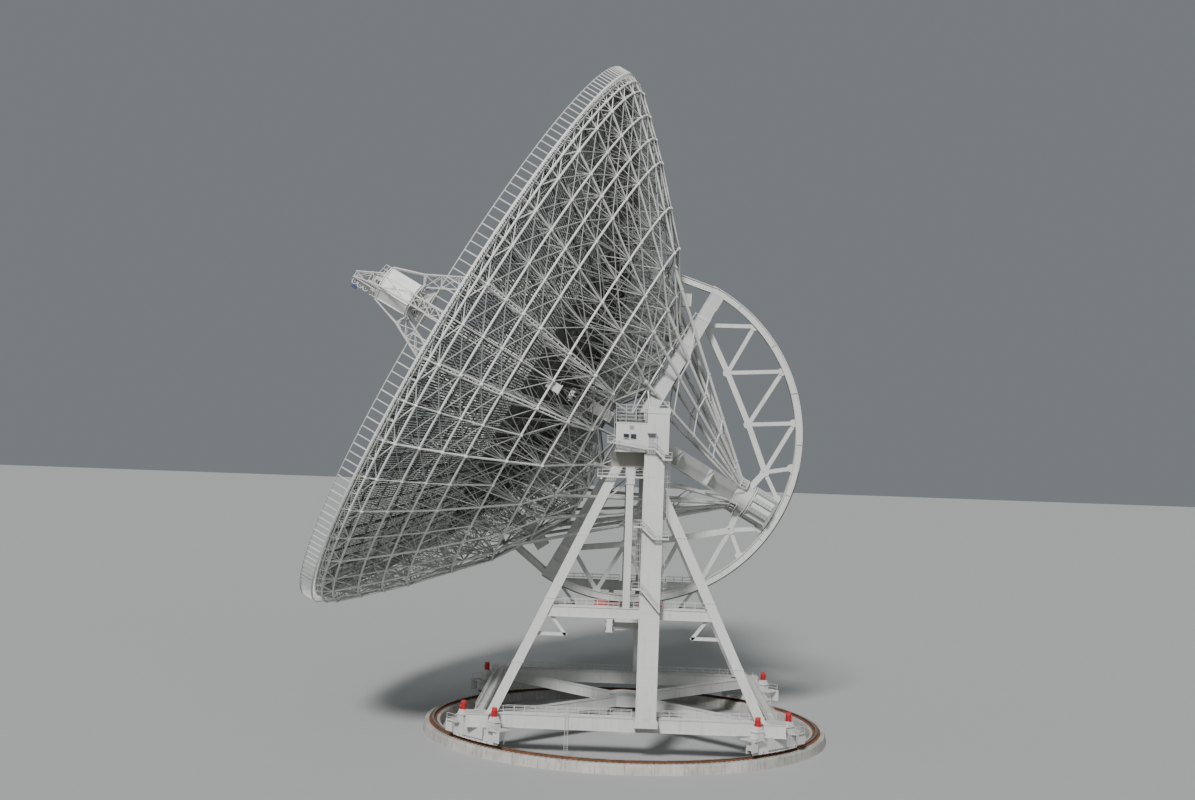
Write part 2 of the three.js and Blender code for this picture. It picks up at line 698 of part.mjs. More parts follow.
const LEG_ANGLES = [0, 90, 180, 270];
const LEG_FOOT = [[18.3, 2.0], [25.1, 1.7]];
const LEG_TOP = [2.9, 46.6];
const LEG_HALF = 0.85;

function legFrame(leg) {
  const [r, z] = LEG_FOOT[leg % 2];
  const foot = new THREE.Vector2(r, z + GAP);
  const head = new THREE.Vector2(...LEG_TOP);
  const along = head.clone().sub(foot).normalize();
  const across = new THREE.Vector2(along.y, -along.x);
  return { foot, head, along, across, length: foot.distanceTo(head) };
}

function legEnvelope(leg, grow) {
  const { foot, head } = legFrame(leg);
  const a = rad(LEG_ANGLES[leg]);
  const at = (p) => [p.x * Math.cos(a), p.x * Math.sin(a), p.y];
  const side = [-Math.sin(a), Math.cos(a), 0];
  return beam(at(foot), at(head), 2.5 + 2 * grow, 2 * (LEG_HALF + 0.12 + grow), side);
}

function focusLeg(leg) {
  const { foot, along, across, length } = legFrame(leg);
  const a = rad(LEG_ANGLES[leg]);
  const width = (t) => 1.2 - 0.3 * t / length;
  const at = (t, w) => foot.clone().addScaledVector(along, t).addScaledVector(across, w * width(t));
  const pair = (p) => [p.x, p.y];
  const outer = [0, length].map((t) => pair(at(t, 1)));
  const inner = [length, 0].map((t) => pair(at(t, -1)));
  const outline = [...outer, ...inner];
  const bays = 9;
  const start = 6.5;
  const step = (length - start - 0.4) / bays;
  const holes = [];
  for (let i = 0; i < bays - 1; i += 1) {
    const way = i % 2 ? 0.93 : -0.93;
    const turns = [[i, way], [i + 1, -way], [i + 2, way]];
    const corners = turns.map(([n, w]) => pair(at(start + step * n, w)));
    holes.push(cell(...corners, 0.13));
  }
  const bodies = [];
  const out = [Math.cos(a), Math.sin(a), 0];
  const side = [out[1], -out[0], 0];
  for (const way of [-1, 1]) {
    const offset = way * LEG_HALF * M;
    const sheet = plate(outline, holes, 0.11, out, [0, 0, 1]);
    bodies.push(sheet.translate([side[0] * offset, side[1] * offset, 0]));
  }
  const place = (p, s) => [p.x * out[0] + side[0] * s, p.x * out[1] + side[1] * s, p.y];
  const upward = [out[0] * along.x, out[1] * along.x, along.y];
  for (let i = 2; i <= bays; i += 2) {
    for (const w of [-0.9, 0.9]) {
      const p = at(start + step * (i + (w > 0 ? 0 : -1)), w);
      bodies.push(beam(place(p, -LEG_HALF), place(p, LEG_HALF), 0.14, 0.14, upward));
    }
  }
  const box0 = place(at(0, 0), 0);
  const box1 = place(at(start - 0.4, 0), 0);
  bodies.push(beam(box0, box1, 2.2, 2 * LEG_HALF, [side[0], side[1], 0]));
  const cut = leg % 2 === 0 ? jointBox(leg === 0 ? 1 : -1, GAP) : wheelJointBlock(leg === 1 ? 1 : -1);
  return join(bodies).subtract(cut).subtract(cabinCore(GAP)).subtract(floorBelow(leg));
}

function floorBelow(leg) {
  const top = LEG_FOOT[leg % 2][1] + GAP;
  return block(-40, 40, -40, 40, top - 6, top);
}

function wheelJointBlock(way) {
  const y0 = Math.min(way * TOP_INNER, way * TOP_OUTER) - GAP;
  const y1 = Math.max(way * TOP_INNER, way * TOP_OUTER) + GAP;
  return block(-1.6 - GAP, 1.6 + GAP, y0, y1, -1.7 - GAP, 1.7 + GAP);
}

// Focus cabin, apex frame and secondary reflector

const CABIN = { low: 43.6, high: 49.6, half: 2.9, flat: 1.2 };
const APEX_TOP = 54.6;

// An eight-sided prism with its wide faces towards the legs
function octagon(half, flat, low, high) {
  const corners = [[half, -flat], [half, flat], [flat, half], [-flat, half]];
  const outline = [...corners, ...corners.map(([x, y]) => [-x, -y])];
  return flatPlate(outline, [], (high - low) / 2).translate([0, 0, (low + high) / 2 * M]);
}

function cabinCore(grow) {
  return octagon(CABIN.half + grow, CABIN.flat, CABIN.low - grow, CABIN.high + grow);
}

function focusCabin() {
  return cabinCore(0);
}

function apexFrame() {
  const z0 = CABIN.high + GAP;
  const bodies = [octagon(2.8, 1.2, z0, z0 + 0.25)];
  for (const [x, y] of [[1, 1], [1, -1], [-1, 1], [-1, -1]]) {
    bodies.push(beam([x * 1.9, y * 1.9, z0 + 0.1], [x * 1.9, y * 1.9, APEX_TOP], 0.22, 0.22, [1, 0, 0]));
  }
  for (const z of [52.0, APEX_TOP - 0.1]) {
    for (const side of [-1, 1]) {
      bodies.push(beam([-2.0, side * 1.9, z], [2.0, side * 1.9, z], 0.22, 0.22));
      bodies.push(beam([side * 1.9, -2.0, z], [side * 1.9, 2.0, z], 0.22, 0.22));
    }
  }
  return join(bodies);
}

function secondary() {
  const z = 40.9;
  const hollow = [[0, z + 1.35], [1.6, z + 1.1], [2.7, z + 0.5], [3.25, z]];
  const back = [[3.25, z + 0.35], [2.8, z + 1.0], [1.7, z + 1.7], [0, z + 1.9]];
  const bowl = turned([...hollow, ...back], 18);
  const head = CABIN.low - GAP;
  const stem = turned([[0, z + 1.6], [1.5, z + 1.6], [1.5, head], [0, head]], 12);
  return join([bowl, stem]);
}

function vertexCabin() {
  const floor = HUB_FLOOR + 0.6 + GAP;
  return turned([[0, floor], [3.35, floor], [3.35, 13.2], [2.6, 13.8], [0, 13.8]], 20);
}

// Assembly

const telescope = new THREE.Group();

telescope.add(piece('foundation_ring', foundation(), 'concrete'));
telescope.add(piece('azimuth_rail', rail(), 'rust'));
telescope.add(piece('pintle_base', pintle(), 'concrete'));

const alidade = new THREE.Group();
telescope.add(alidade);
alidade.add(piece('base_frame', baseFrame(), 'white'));
['rear_near', 'rear_far', 'front_far', 'front_near'].forEach((place, i) => {
  alidade.add(piece(`azimuth_truck_${place}`, truck(45 + 90 * i), 'white'));
});
for (const [tag, side] of [['near', 1], ['far', -1]]) {
  alidade.add(piece(`front_leg_${tag}`, towerLeg(side, -1), 'white'));
  alidade.add(piece(`rear_leg_${tag}`, towerLeg(side, 1), 'white'));
  alidade.add(piece(`lift_column_${tag}`, towerColumn(side), 'white'));
  alidade.add(piece(`tower_strut_${tag}`, towerStrut(side), 'white'));
  alidade.add(piece(`tie_beam_${tag}`, tieBeam(side), 'white'));
  alidade.add(piece(`bearing_house_${tag}`, bearingHouse(side), 'white'));
}
alidade.add(piece('drive_bridge', driveBridge(), 'white'));
alidade.add(piece('elevation_drives', elevationDrives(), 'red'));

const tilting = new THREE.Group();
tilting.position.set(0, 0, AXIS_HEIGHT * M);
tilting.rotation.x = rad(90 - REST_ELEVATION);
telescope.add(tilting);
for (const [tag, side] of [['near', 1], ['far', -1]]) {
  tilting.add(piece(`trunnion_${tag}`, trunnion(side), 'grey'));
}
tilting.add(piece('upper_arms', wheelArms(1), 'grey'));
tilting.add(piece('lower_arms', wheelArms(-1), 'grey'));
tilting.add(piece('rear_arms', rearArms(), 'grey'));
tilting.add(piece('centre_hub', centreHub(), 'grey'));
tilting.add(piece('elevation_wheel_upper', wheelTruss(1), 'white'));
tilting.add(piece('elevation_wheel_lower', wheelTruss(-1), 'white'));
tilting.add(piece('elevation_gear_rack', gearRack(), 'grey'));
tilting.add(piece('counterweight_drum', counterweight(), 'white'));
tilting.add(piece('umbrella_tubes_upper', umbrella(1), 'white'));
tilting.add(piece('umbrella_tubes_lower', umbrella(-1), 'white'));
['a', 'b', 'c', 'd'].forEach((letter, i) => {
  tilting.add(piece(`dish_panels_${letter}`, panels(i), 'white'));
  tilting.add(piece(`back_structure_${letter}`, backStructure(i), 'white'));
});
tilting.add(piece('rim_walkway', rimWalkway(), 'white'));
['near', 'top', 'far', 'bottom'].forEach((place, i) => {
  tilting.add(piece(`focus_leg_${place}`, focusLeg(i), 'white'));
});
tilting.add(piece('focus_cabin', focusCabin(), 'white'));
tilting.add(piece('apex_frame', apexFrame(), 'white'));
tilting.add(piece('secondary_reflector', secondary(), 'white'));
tilting.add(piece('vertex_cabin', vertexCabin(), 'white'));

export default telescope;
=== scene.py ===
import math

import bmesh
import bpy
from mathutils import Matrix, Vector


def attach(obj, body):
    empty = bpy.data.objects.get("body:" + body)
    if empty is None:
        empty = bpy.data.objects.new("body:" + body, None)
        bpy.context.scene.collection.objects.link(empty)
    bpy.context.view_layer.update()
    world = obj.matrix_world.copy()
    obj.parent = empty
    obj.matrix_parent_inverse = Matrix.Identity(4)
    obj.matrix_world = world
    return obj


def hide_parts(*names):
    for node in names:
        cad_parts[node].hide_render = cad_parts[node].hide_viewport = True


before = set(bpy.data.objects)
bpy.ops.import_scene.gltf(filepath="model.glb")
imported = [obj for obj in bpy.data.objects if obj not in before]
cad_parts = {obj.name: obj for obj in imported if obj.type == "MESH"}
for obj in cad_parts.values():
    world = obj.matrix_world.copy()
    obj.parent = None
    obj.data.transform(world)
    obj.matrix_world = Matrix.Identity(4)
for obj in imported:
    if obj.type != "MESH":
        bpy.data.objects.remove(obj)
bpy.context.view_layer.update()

# The telescope is drawn at its real size in metres and shrunk to the 1:10 model at the end.
# Ground frame: +Z up, X along the elevation axis, the near tower at +X.
# Dish frame: X as before, +Y up the dish, +Z the way the dish looks, origin on the elevation axis.
MODEL = 0.1
AXIS_HEIGHT = 50.0
REST_TILT = math.radians(90 - 29)
GROUND = Matrix.Scale(MODEL, 4)
DISH = GROUND @ Matrix.Translation((0, 0, AXIS_HEIGHT)) @ Matrix.Rotation(REST_TILT, 4, "X")

# Driving dimensions, in real metres and degrees
TRACK_RADIUS = 32.0
RAIL_TOP = 1.9
CORNER = 22.6
BASE_BOTTOM = 4.3
BASE_TOP = 6.3
BRIDGE_BOTTOM = 19.2
BRIDGE_TOP = 20.4
TIE_BOTTOM = 21.4
TIE_TOP = 22.9
HEAD_DECK = 43.0
HEAD_BOTTOM = 44.6
ARCH_RADIUS = 0.58
ARCH_SPRING = 43.9
COLUMN_INNER = 22.75
TOWER_FACE = 25.4
HOUSE_INNER = 20.3
WING_ROOF = 51.38
HOUSE_ROOF = 53.56
VERTEX = 10.0
FOCAL_LENGTH = 30.0
PANEL_DEPTH = 0.15
RIB_STEP = 15.0
FINE_STEP = RIB_STEP / 4
WHEEL_OUTER = 28.4
WHEEL_INNER = 27.25
HUB_FRONT = -19.2
HUB_REAR = -22.2
RAIL_HEIGHT = 1.1
RAIL_RADIUS = 0.035


# Camera at the photograph's viewing angle, and light

CAMERA_DISTANCE = 245.505
CAMERA_HEIGHT = 47.549
CAMERA_SIDE = -0.00943
CAMERA_YAW = 0.0166
CAMERA_PITCH = 0.03204
CAMERA_ROLL = 0.03508
CAMERA_FOCUS = 1448.45
PHOTO_WIDTH = 1195.0
SENSOR = 36.0

SKY = (0.52, 0.56, 0.6, 1)
SKY_STRENGTH = 0.36
FLOOR = (0.36, 0.37, 0.36, 1)
FLOOR_ROUGHNESS = 0.9
FLOOR_REACH = 150
# Name and strength of each lamp, then its spread, lean and turn in degrees
LAMPS = (("sun", 4.6, 10, 52, 76), ("fill", 0.5, 60, 62, 110))


def set_camera():
    """Stand where the photographer stood: level with the dish's middle, off its near side."""
    place = Vector((
        CAMERA_DISTANCE * math.cos(CAMERA_SIDE),
        CAMERA_DISTANCE * math.sin(CAMERA_SIDE),
        CAMERA_HEIGHT,
    ))
    level = math.cos(CAMERA_PITCH)
    ahead = Vector((-math.cos(CAMERA_YAW) * level, -math.sin(CAMERA_YAW) * level, math.sin(CAMERA_PITCH)))
    flat_right = ahead.cross(Vector((0, 0, 1))).normalized()
    flat_up = flat_right.cross(ahead)
    right = flat_right * math.cos(CAMERA_ROLL) + flat_up * math.sin(CAMERA_ROLL)
    up = flat_up * math.cos(CAMERA_ROLL) - flat_right * math.sin(CAMERA_ROLL)
    turn = Matrix((right, up, -ahead)).transposed()
    data = bpy.data.cameras.new("camera")
    data.sensor_width = SENSOR
    data.lens = CAMERA_FOCUS / PHOTO_WIDTH * SENSOR
    data.clip_end = 400
    camera = bpy.data.objects.new("camera", data)
    camera.matrix_world = Matrix.Translation(place * MODEL) @ turn.to_4x4()
    bpy.context.collection.objects.link(camera)
    bpy.context.scene.camera = camera


def set_light():
    """An even overcast sky, a soft sun, a broad fill light and a plain pale floor."""
    world = bpy.data.worlds.new("sky")
    world.use_nodes = True
    sky = world.node_tree.nodes["Background"]
    sky.inputs["Color"].default_value = SKY
    sky.inputs["Strength"].default_value = SKY_STRENGTH
    bpy.context.scene.world = world
    for name, strength, spread, lean, turn in LAMPS:
        data = bpy.data.lights.new(name, "SUN")
        data.energy = strength
        data.angle = math.radians(spread)
        light = bpy.data.objects.new(name, data)
        light.rotation_euler = (math.radians(lean), 0, math.radians(turn))
        bpy.context.collection.objects.link(light)
    floor = bpy.data.meshes.new("floor")
    corners = [(x * FLOOR_REACH, y * FLOOR_REACH, 0) for x, y in ((-1, -1), (1, -1), (1, 1), (-1, 1))]
    floor.from_pydata(corners, [], [(0, 1, 2, 3)])
    surface = bpy.data.materials.new("floor_surface")
    surface.use_nodes = True
    shader = surface.node_tree.nodes["Principled BSDF"]
    shader.inputs["Base Color"].default_value = FLOOR
    shader.inputs["Roughness"].default_value = FLOOR_ROUGHNESS
    floor.materials.append(surface)
    stage = bpy.data.objects.new("floor", floor)
    bpy.context.collection.objects.link(stage)


# Materials

class Nodes:
    """A node tree under construction, with short names for the nodes that a finish needs."""

    def __init__(self, name):
        self.material = bpy.data.materials.new(name)
        self.material.use_nodes = True
        self.tree = self.material.node_tree
        self.shader = self.tree.nodes["Principled BSDF"]
        self.place = self.tree.nodes.new("ShaderNodeTexCoord").outputs["Object"]

    def link(self, source, target):
        self.tree.links.new(source, target)

    def stretched(self, scale):
        node = self.tree.nodes.new("ShaderNodeMapping")
        node.inputs["Scale"].default_value = scale
        self.link(self.place, node.inputs["Vector"])
        return node.outputs["Vector"]

    def noise(self, scale, detail=4.0, rough=0.55, vector=None):
        node = self.tree.nodes.new("ShaderNodeTexNoise")
        node.inputs["Scale"].default_value = scale
        node.inputs["Detail"].default_value = detail
        node.inputs["Roughness"].default_value = rough
        self.link(vector or self.place, node.inputs["Vector"])
        return node.outputs["Fac"]

    def cells(self, scale):
        node = self.tree.nodes.new("ShaderNodeTexVoronoi")
        node.inputs["Scale"].default_value = scale
        self.link(self.place, node.inputs["Vector"])
        return node.outputs["Distance"]

    def range(self, source, low, high, to_low, to_high):
        node = self.tree.nodes.new("ShaderNodeMapRange")
        node.inputs["From Min"].default_value = low
        node.inputs["From Max"].default_value = high
        node.inputs["To Min"].default_value = to_low
        node.inputs["To Max"].default_value = to_high
        self.link(source, node.inputs["Value"])
        return node.outputs["Result"]

    def mix(self, factor, first, second):
        """Blend two colours, each a colour or another mix's output."""
        node = self.tree.nodes.new("ShaderNodeMix")
        node.data_type = "RGBA"
        self.link(factor, node.inputs["Factor"])
        colours = [s for s in node.inputs if s.type == "RGBA"]
        for socket, value in zip(colours, (first, second)):
            if isinstance(value, tuple):
                socket.default_value = (*value, 1)
            else:
                self.link(value, socket)
        return [s for s in node.outputs if s.type == "RGBA"][0]

    def upward(self):
        geometry = self.tree.nodes.new("ShaderNodeNewGeometry")
        split = self.tree.nodes.new("ShaderNodeSeparateXYZ")
        self.link(geometry.outputs["Normal"], split.inputs["Vector"])
        return split.outputs["Z"]

    def bump(self, height, strength, distance):
        node = self.tree.nodes.new("ShaderNodeBump")
        node.inputs["Strength"].default_value = strength
        node.inputs["Distance"].default_value = distance
        self.link(height, node.inputs["Height"])
        self.link(node.outputs["Normal"], self.shader.inputs["Normal"])

    def finish(self, colour, rough, metal=0.0):
        self.link(colour, self.shader.inputs["Base Color"])
        self.link(rough, self.shader.inputs["Roughness"])
        self.shader.inputs["Metallic"].default_value = metal
        return self.material


def paint(name, colour, grime_and_shade=(0.2, 0.19, 0.16), wear=0.35, rust=0.25, rough=0.5):
    """Site-applied paint on steel: cloudy tone, rain streaks with grime, painted shade on downward-facing
    sides, small rust spots.
    """
    n = Nodes(name)
    darker = tuple(c * 0.8 for c in colour)
    cloudy = n.range(n.noise(1.1, 5), 0.35, 0.7, 0.0, 0.6)
    tone = n.mix(cloudy, colour, darker)
    streaks = n.noise(1.0, 5, 0.6, n.stretched((15, 15, 1.3)))
    tone = n.mix(n.range(streaks, 0.52, 0.78, 0.0, wear), tone, grime_and_shade)
    # Painted shade: faces that point down are darkened towards the grime colour, standing in for shade under
    # things rather than dirt.
    under = n.range(n.upward(), -1.0, 0.1, 0.22, 0.0)
    tone = n.mix(under, tone, grime_and_shade)
    spots = n.noise(26.0, 3, 0.5)
    tone = n.mix(n.range(spots, 0.7, 0.78, 0.0, rust), tone, (0.26, 0.12, 0.06))
    grain = n.noise(90.0, 3)
    n.bump(grain, 0.12, 0.002)
    return n.finish(tone, n.range(n.noise(7.0, 4), 0.3, 0.7, rough - 0.08, rough + 0.16))


def concrete(name):
    """Cast concrete: cloudy grey, pits, and dark damp streaks down its sides."""
    n = Nodes(name)
    tone = n.mix(n.range(n.noise(2.2, 7), 0.35, 0.7, 0.0, 1.0), (0.44, 0.43, 0.4), (0.29, 0.285, 0.26))
    streaks = n.noise(1.0, 6, 0.62, n.stretched((22, 22, 2.4)))
    tone = n.mix(n.range(streaks, 0.5, 0.75, 0.0, 0.65), tone, (0.13, 0.125, 0.105))
    moss = n.noise(9.0, 6, 0.6)
    tone = n.mix(n.range(moss, 0.6, 0.74, 0.0, 0.35), tone, (0.16, 0.18, 0.1))
    pits = n.cells(60.0)
    n.bump(n.range(pits, 0.0, 0.5, 0.0, 1.0), 0.3, 0.003)
    return n.finish(tone, n.range(n.noise(5.0, 3), 0.3, 0.7, 0.82, 0.96))


def rusty(name):
    """Rail steel gone brown in the weather."""
    n = Nodes(name)
    tone = n.mix(n.range(n.noise(9.0, 6), 0.35, 0.7, 0.0, 1.0), (0.2, 0.085, 0.042), (0.1, 0.05, 0.032))
    tone = n.mix(n.range(n.noise(32.0, 4), 0.56, 0.72, 0.0, 0.7), tone, (0.33, 0.15, 0.06))
    n.bump(n.noise(70.0, 5), 0.35, 0.002)
    return n.finish(tone, n.range(n.noise(14.0, 3), 0.3, 0.7, 0.65, 0.9), 0.35)


def bare_steel(name, colour, low, high):
    """Bare working steel, greased, with a brushed run of fine scratches."""
    n = Nodes(name)
    darker = tuple(c * 0.45 for c in colour)
    tone = n.mix(n.range(n.noise(12.0, 5), 0.35, 0.68, 0.0, 1.0), colour, darker)
    n.bump(n.noise(1.0, 4, 0.6, n.stretched((220, 220, 30))), 0.15, 0.001)
    return n.finish(tone, n.range(n.noise(20.0, 3), 0.3, 0.7, low, high), 0.85)


def window_glass(name):
    n = Nodes(name)
    tone = n.mix(n.range(n.noise(3.0, 3), 0.35, 0.7, 0.0, 1.0), (0.012, 0.016, 0.02), (0.035, 0.045, 0.05))
    return n.finish(tone, n.range(n.noise(10.0, 2), 0.3, 0.7, 0.06, 0.16))


WHITE = paint("white_paint_weathered", (0.54, 0.545, 0.52))
BRIGHT = paint("cabin_paint_clean", (0.86, 0.86, 0.83), wear=0.15, rust=0.05)
LATTICE = paint("lattice_paint_weathered", (0.72, 0.725, 0.7), wear=0.2, rust=0.12)
# Painted shade: the braces and the front layer are the lattice's own white made darker, standing in for the
# shade deep inside the back structure.
BRACES = paint("brace_paint_weathered_and_shaded", (0.36, 0.365, 0.345), grime_and_shade=(0.12, 0.115, 0.1), wear=0.3, rust=0.15)
LAYER = paint("front_layer_painted_shade", (0.2, 0.205, 0.19), grime_and_shade=(0.08, 0.08, 0.065), wear=0.35, rust=0.1)
# Painted shade: the arms are the same white as the rest, painted a darker grey to stand in for the shade they
# lie in.
ARM = paint("box_arm_painted_shade", (0.46, 0.465, 0.45), wear=0.3, rust=0.15)
GREY = paint("grey_paint_weathered", (0.36, 0.375, 0.375), wear=0.45)
PLANT = paint("roof_plant_paint", (0.16, 0.165, 0.16), wear=0.4)
# Painted shade: the tower head is white like the column, painted dark to stand in for the shade under the
# house's overhang.
HEAD = paint("tower_head_painted_shade", (0.3, 0.29, 0.25), wear=0.35)
DARK = paint("dark_grey_paint", (0.11, 0.115, 0.12), wear=0.2)
PANEL = paint("reflector_paint_matt", (0.6, 0.605, 0.585), grime_and_shade=(0.25, 0.24, 0.2), wear=0.3, rust=0.0,
              rough=0.66)
# Dirt and painted shade: the panels' rear faces are dirty grey-olive, and this colour is made darker still to
# stand in for the shade behind the bowl.
BACKING = paint("panel_backing_dirt_and_painted_shade", (0.06, 0.064, 0.05), grime_and_shade=(0.035, 0.035, 0.027), wear=0.4, rust=0.1)
# Painted shade: the slats and their frames are white on the real dish; these dark greys stand in for the
# shade they are seen in from behind.
SLAT_FACE = paint("slat_face_painted_shade", (0.24, 0.245, 0.235), grime_and_shade=(0.11, 0.11, 0.095), wear=0.3)
SLATS = paint("slat_frame_painted_shade", (0.13, 0.135, 0.12), grime_and_shade=(0.09, 0.09, 0.075), wear=0.35, rust=0.05)
RED = paint("red_machine_paint", (0.5, 0.025, 0.03), grime_and_shade=(0.1, 0.03, 0.03), wear=0.4, rust=0.1, rough=0.38)
BLUE = paint("blue_receiver_paint", (0.035, 0.06, 0.16), wear=0.2, rust=0.0, rough=0.4)
CONCRETE = concrete("cast_concrete")
RUST = rusty("rusted_rail_steel")
GEAR = bare_steel("greased_gear_steel", (0.22, 0.21, 0.2), 0.35, 0.6)
RUNNING = bare_steel("polished_running_strip", (0.5, 0.49, 0.47), 0.22, 0.4)
GLASS = window_glass("dark_window_glass")


# Building blocks, in real metres

def across(direction, up=(0, 0, 1)):
    """Two unit vectors at right angles to a direction, the second as near to up as it can be."""
    ahead = direction.normalized()
    hint = Vector(up)
    if abs(hint.normalized().dot(ahead)) > 0.995:
        hint = Vector((1, 0, 0)) if abs(ahead.x) < 0.9 else Vector((0, 1, 0))
    side = hint.cross(ahead).normalized()
    return side, ahead.cross(side)


def circle(centre, side, over, radius, sides):
    turn = 2 * math.pi / sides
    return [centre + side * (radius * math.cos(turn * i)) + over * (radius * math.sin(turn * i))
            for i in range(sides)]


def polar(radius, degrees, height):
    a = math.radians(degrees)
    return Vector((radius * math.cos(a), radius * math.sin(a), height))


def between(a, b, share):
    return Vector(a).lerp(Vector(b), share)


def turned(angle, out, aside, z):
    """A point this far out along a direction round Z and this far to its left."""
    a = math.radians(angle)
    return Vector((out * math.cos(a) - aside * math.sin(a), out * math.sin(a) + aside * math.cos(a), z))


def cyclic(points):
    """Neighbouring pairs of a closed row of points."""
    return list(zip(points, points[1:] + points[:1]))


class Form:
    """The points and faces of one piece."""

    def __init__(self):
        self.points = []
        self.faces = []

    def add(self, points, faces):
        start = len(self.points)
        self.points.extend(points)
        self.faces.extend(tuple(start + i for i in face) for face in faces)

    def loft(self, rings, closed=False):
        """Skin a row of rings that have the same number of points."""
        count = len(rings[0])
        rows = len(rings)
        faces = []
        for j in range(rows if closed else rows - 1):
            near = j * count
            far = (j + 1) % rows * count
            for i in range(count):
                k = (i + 1) % count
                faces.append((near + i, near + k, far + k, far + i))
        if not closed:
            faces.append(tuple(reversed(range(count))))
            faces.append(tuple(range((rows - 1) * count, rows * count)))
        self.add([point for ring in rings for point in ring], faces)

    def tube(self, a, b, radius, sides=6):
        a, b = Vector(a), Vector(b)
        side, over = across(b - a)
        self.loft([circle(a, side, over, radius, sides), circle(b, side, over, radius, sides)])

    def rod(self, a, b, levels, sides=16):
        """A turned rod from a towards b, with a radius at each distance from a."""
        a, b = Vector(a), Vector(b)
        ahead = (b - a).normalized()
        side, over = across(ahead)
        self.loft([circle(a + ahead * along, side, over, radius, sides) for along, radius in levels])

    def bent(self, points, radius, sides=6, closed=False):
        """A tube along a row of points."""
        path = [Vector(p) for p in points]
        last = len(path) - 1
        rings = []
        for i, point in enumerate(path):
            before = path[i - 1] if i > 0 or closed else point
            after = path[(i + 1) % len(path)] if i < last or closed else point
            side, over = across(after - before)
            rings.append(circle(point, side, over, radius, sides))
        self.loft(rings, closed)

    def beam(self, a, b, width, height, up=(0, 0, 1)):
        a, b = Vector(a), Vector(b)
        side, over = across(b - a, up)
        corners = [side * (i * width / 2) + over * (j * height / 2)
                   for i, j in ((-1, -1), (1, -1), (1, 1), (-1, 1))]
        self.loft([[a + c for c in corners], [b + c for c in corners]])

    def box(self, x0, x1, y0, y1, z0, z1):
        low = [Vector((x0, y0, z0)), Vector((x1, y0, z0)), Vector((x1, y1, z0)), Vector((x0, y1, z0))]
        rise = Vector((0, 0, z1 - z0))
        self.loft([low, [p + rise for p in low]])

    def slab(self, outline, half, origin, first, second):
        """A flat plate from an outline in two given directions."""
        first, second = Vector(first), Vector(second)
        normal = first.cross(second).normalized()
        middle = [Vector(origin) + first * x + second * y for x, y in outline]
        self.loft([[p - normal * half for p in middle], [p + normal * half for p in middle]])

    def ring(self, profile, steps, start=0.0, sweep=360.0):
        """A profile of radius and height pairs swept round Z."""
        closed = abs(sweep - 360.0) < 1e-6
        count = steps if closed else steps + 1
        rings = [[polar(r, start + sweep * i / steps, z) for r, z in profile] for i in range(count)]
        self.loft(rings, closed)

    def hoop(self, radius, height, thick, steps, sides=6):
        """A level round bar about Z."""
        path = circle(Vector((0, 0, height)), Vector((1, 0, 0)), Vector((0, 1, 0)), radius, steps)
        self.bent(path, thick, sides, closed=True)

    def bolts(self, centre, ahead, radius, count, size=0.09):
        """A circle of hexagonal heads."""
        ahead = Vector(ahead).normalized()
        side, over = across(ahead)
        for point in circle(Vector(centre), side, over, radius, count):
            self.tube(point - ahead * size * 0.3, point + ahead * size * 0.7, size, 6)

    def knob(self, centre, radius):
        """A small ball joint where bars meet."""
        centre = Vector(centre)
        x, y, z = Vector((1, 0, 0)), Vector((0, 1, 0)), Vector((0, 0, 1))
        levels = ((-0.85, 0.5), (0.0, 1.0), (0.85, 0.5))
        self.loft([circle(centre + z * (h * radius), x, y, radius * r, 6) for h, r in levels])

    def make(self, name, body, finish, smooth=0, replaces=()):
        mesh = bpy.data.meshes.new(name)
        mesh.from_pydata(self.points, [], self.faces)
        mesh.transform(DISH if body == "dish" else GROUND)
        work = bmesh.new()
        work.from_mesh(mesh)
        bmesh.ops.recalc_face_normals(work, faces=work.faces)
        work.to_mesh(mesh)
        work.free()
        if smooth:
            mesh.shade_smooth()
            mesh.set_sharp_from_angle(angle=math.radians(smooth))
        mesh.materials.append(finish)
        piece = bpy.data.objects.new(name, mesh)
        bpy.context.collection.objects.link(piece)
        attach(piece, body)
        if replaces:
            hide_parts(*replaces)
        return piece


# Walkways, railings, stairs and ladders

TREAD_RISE = 0.22
RUNG_STEP = 0.33
FIRST_HOOP = 2.2
HOOP_STEP = 0.9
HOOP_REACH = 0.7


def railing(form, path, up=(0, 0, 1), spacing=1.6, height=RAIL_HEIGHT, rails=(0.5, 1.0)):
    """Posts and rails along a row of points."""
    rise = Vector(up).normalized() * height
    for a, b in zip(path, path[1:]):
        a, b = Vector(a), Vector(b)
        for share in rails:
            form.tube(a + rise * share, b + rise * share, RAIL_RADIUS, 5)
        form.beam(a + rise * 0.07, b + rise * 0.07, 0.03, 0.14, up)
        count = max(1, round((b - a).length / spacing))
        for i in range(count):
            foot = between(a, b, i / count)
            form.tube(foot, foot + rise, RAIL_RADIUS, 5)
    last = Vector(path[-1])
    form.tube(last, last + rise, RAIL_RADIUS, 5)


def grating(form, a, b, width, up=(0, 0, 1), step=0.3, depth=0.12):
    """A walkway of cross slats between two edge bars."""
    a, b = Vector(a), Vector(b)
    side, over = across(b - a, up)
    for way in (-1, 1):
        edge = side * (way * width / 2)
        form.beam(a + edge, b + edge, 0.07, depth * 1.6, up)
    count = max(2, round((b - a).length / step))
    for i in range(count + 1):
        middle = between(a, b, i / count)
        form.beam(middle - side * width / 2, middle + side * width / 2, 0.16, 0.04, over)


def flight(form, a, b, width, side):
    """Stairs from a up to b, with treads between two stringers and a railing on each side."""
    a, b = Vector(a), Vector(b)
    out = Vector(side).normalized() * (width / 2)
    for way in (-1, 1):
        form.beam(a + out * way, b + out * way, 0.05, 0.28)
        railing(form, [a + out * way, b + out * way], height=1.0, spacing=1.2)
    count = max(2, round(abs(b.z - a.z) / TREAD_RISE))
    for i in range(1, count):
        middle = between(a, b, i / count)
        form.beam(middle - out, middle + out, 0.24, 0.04)


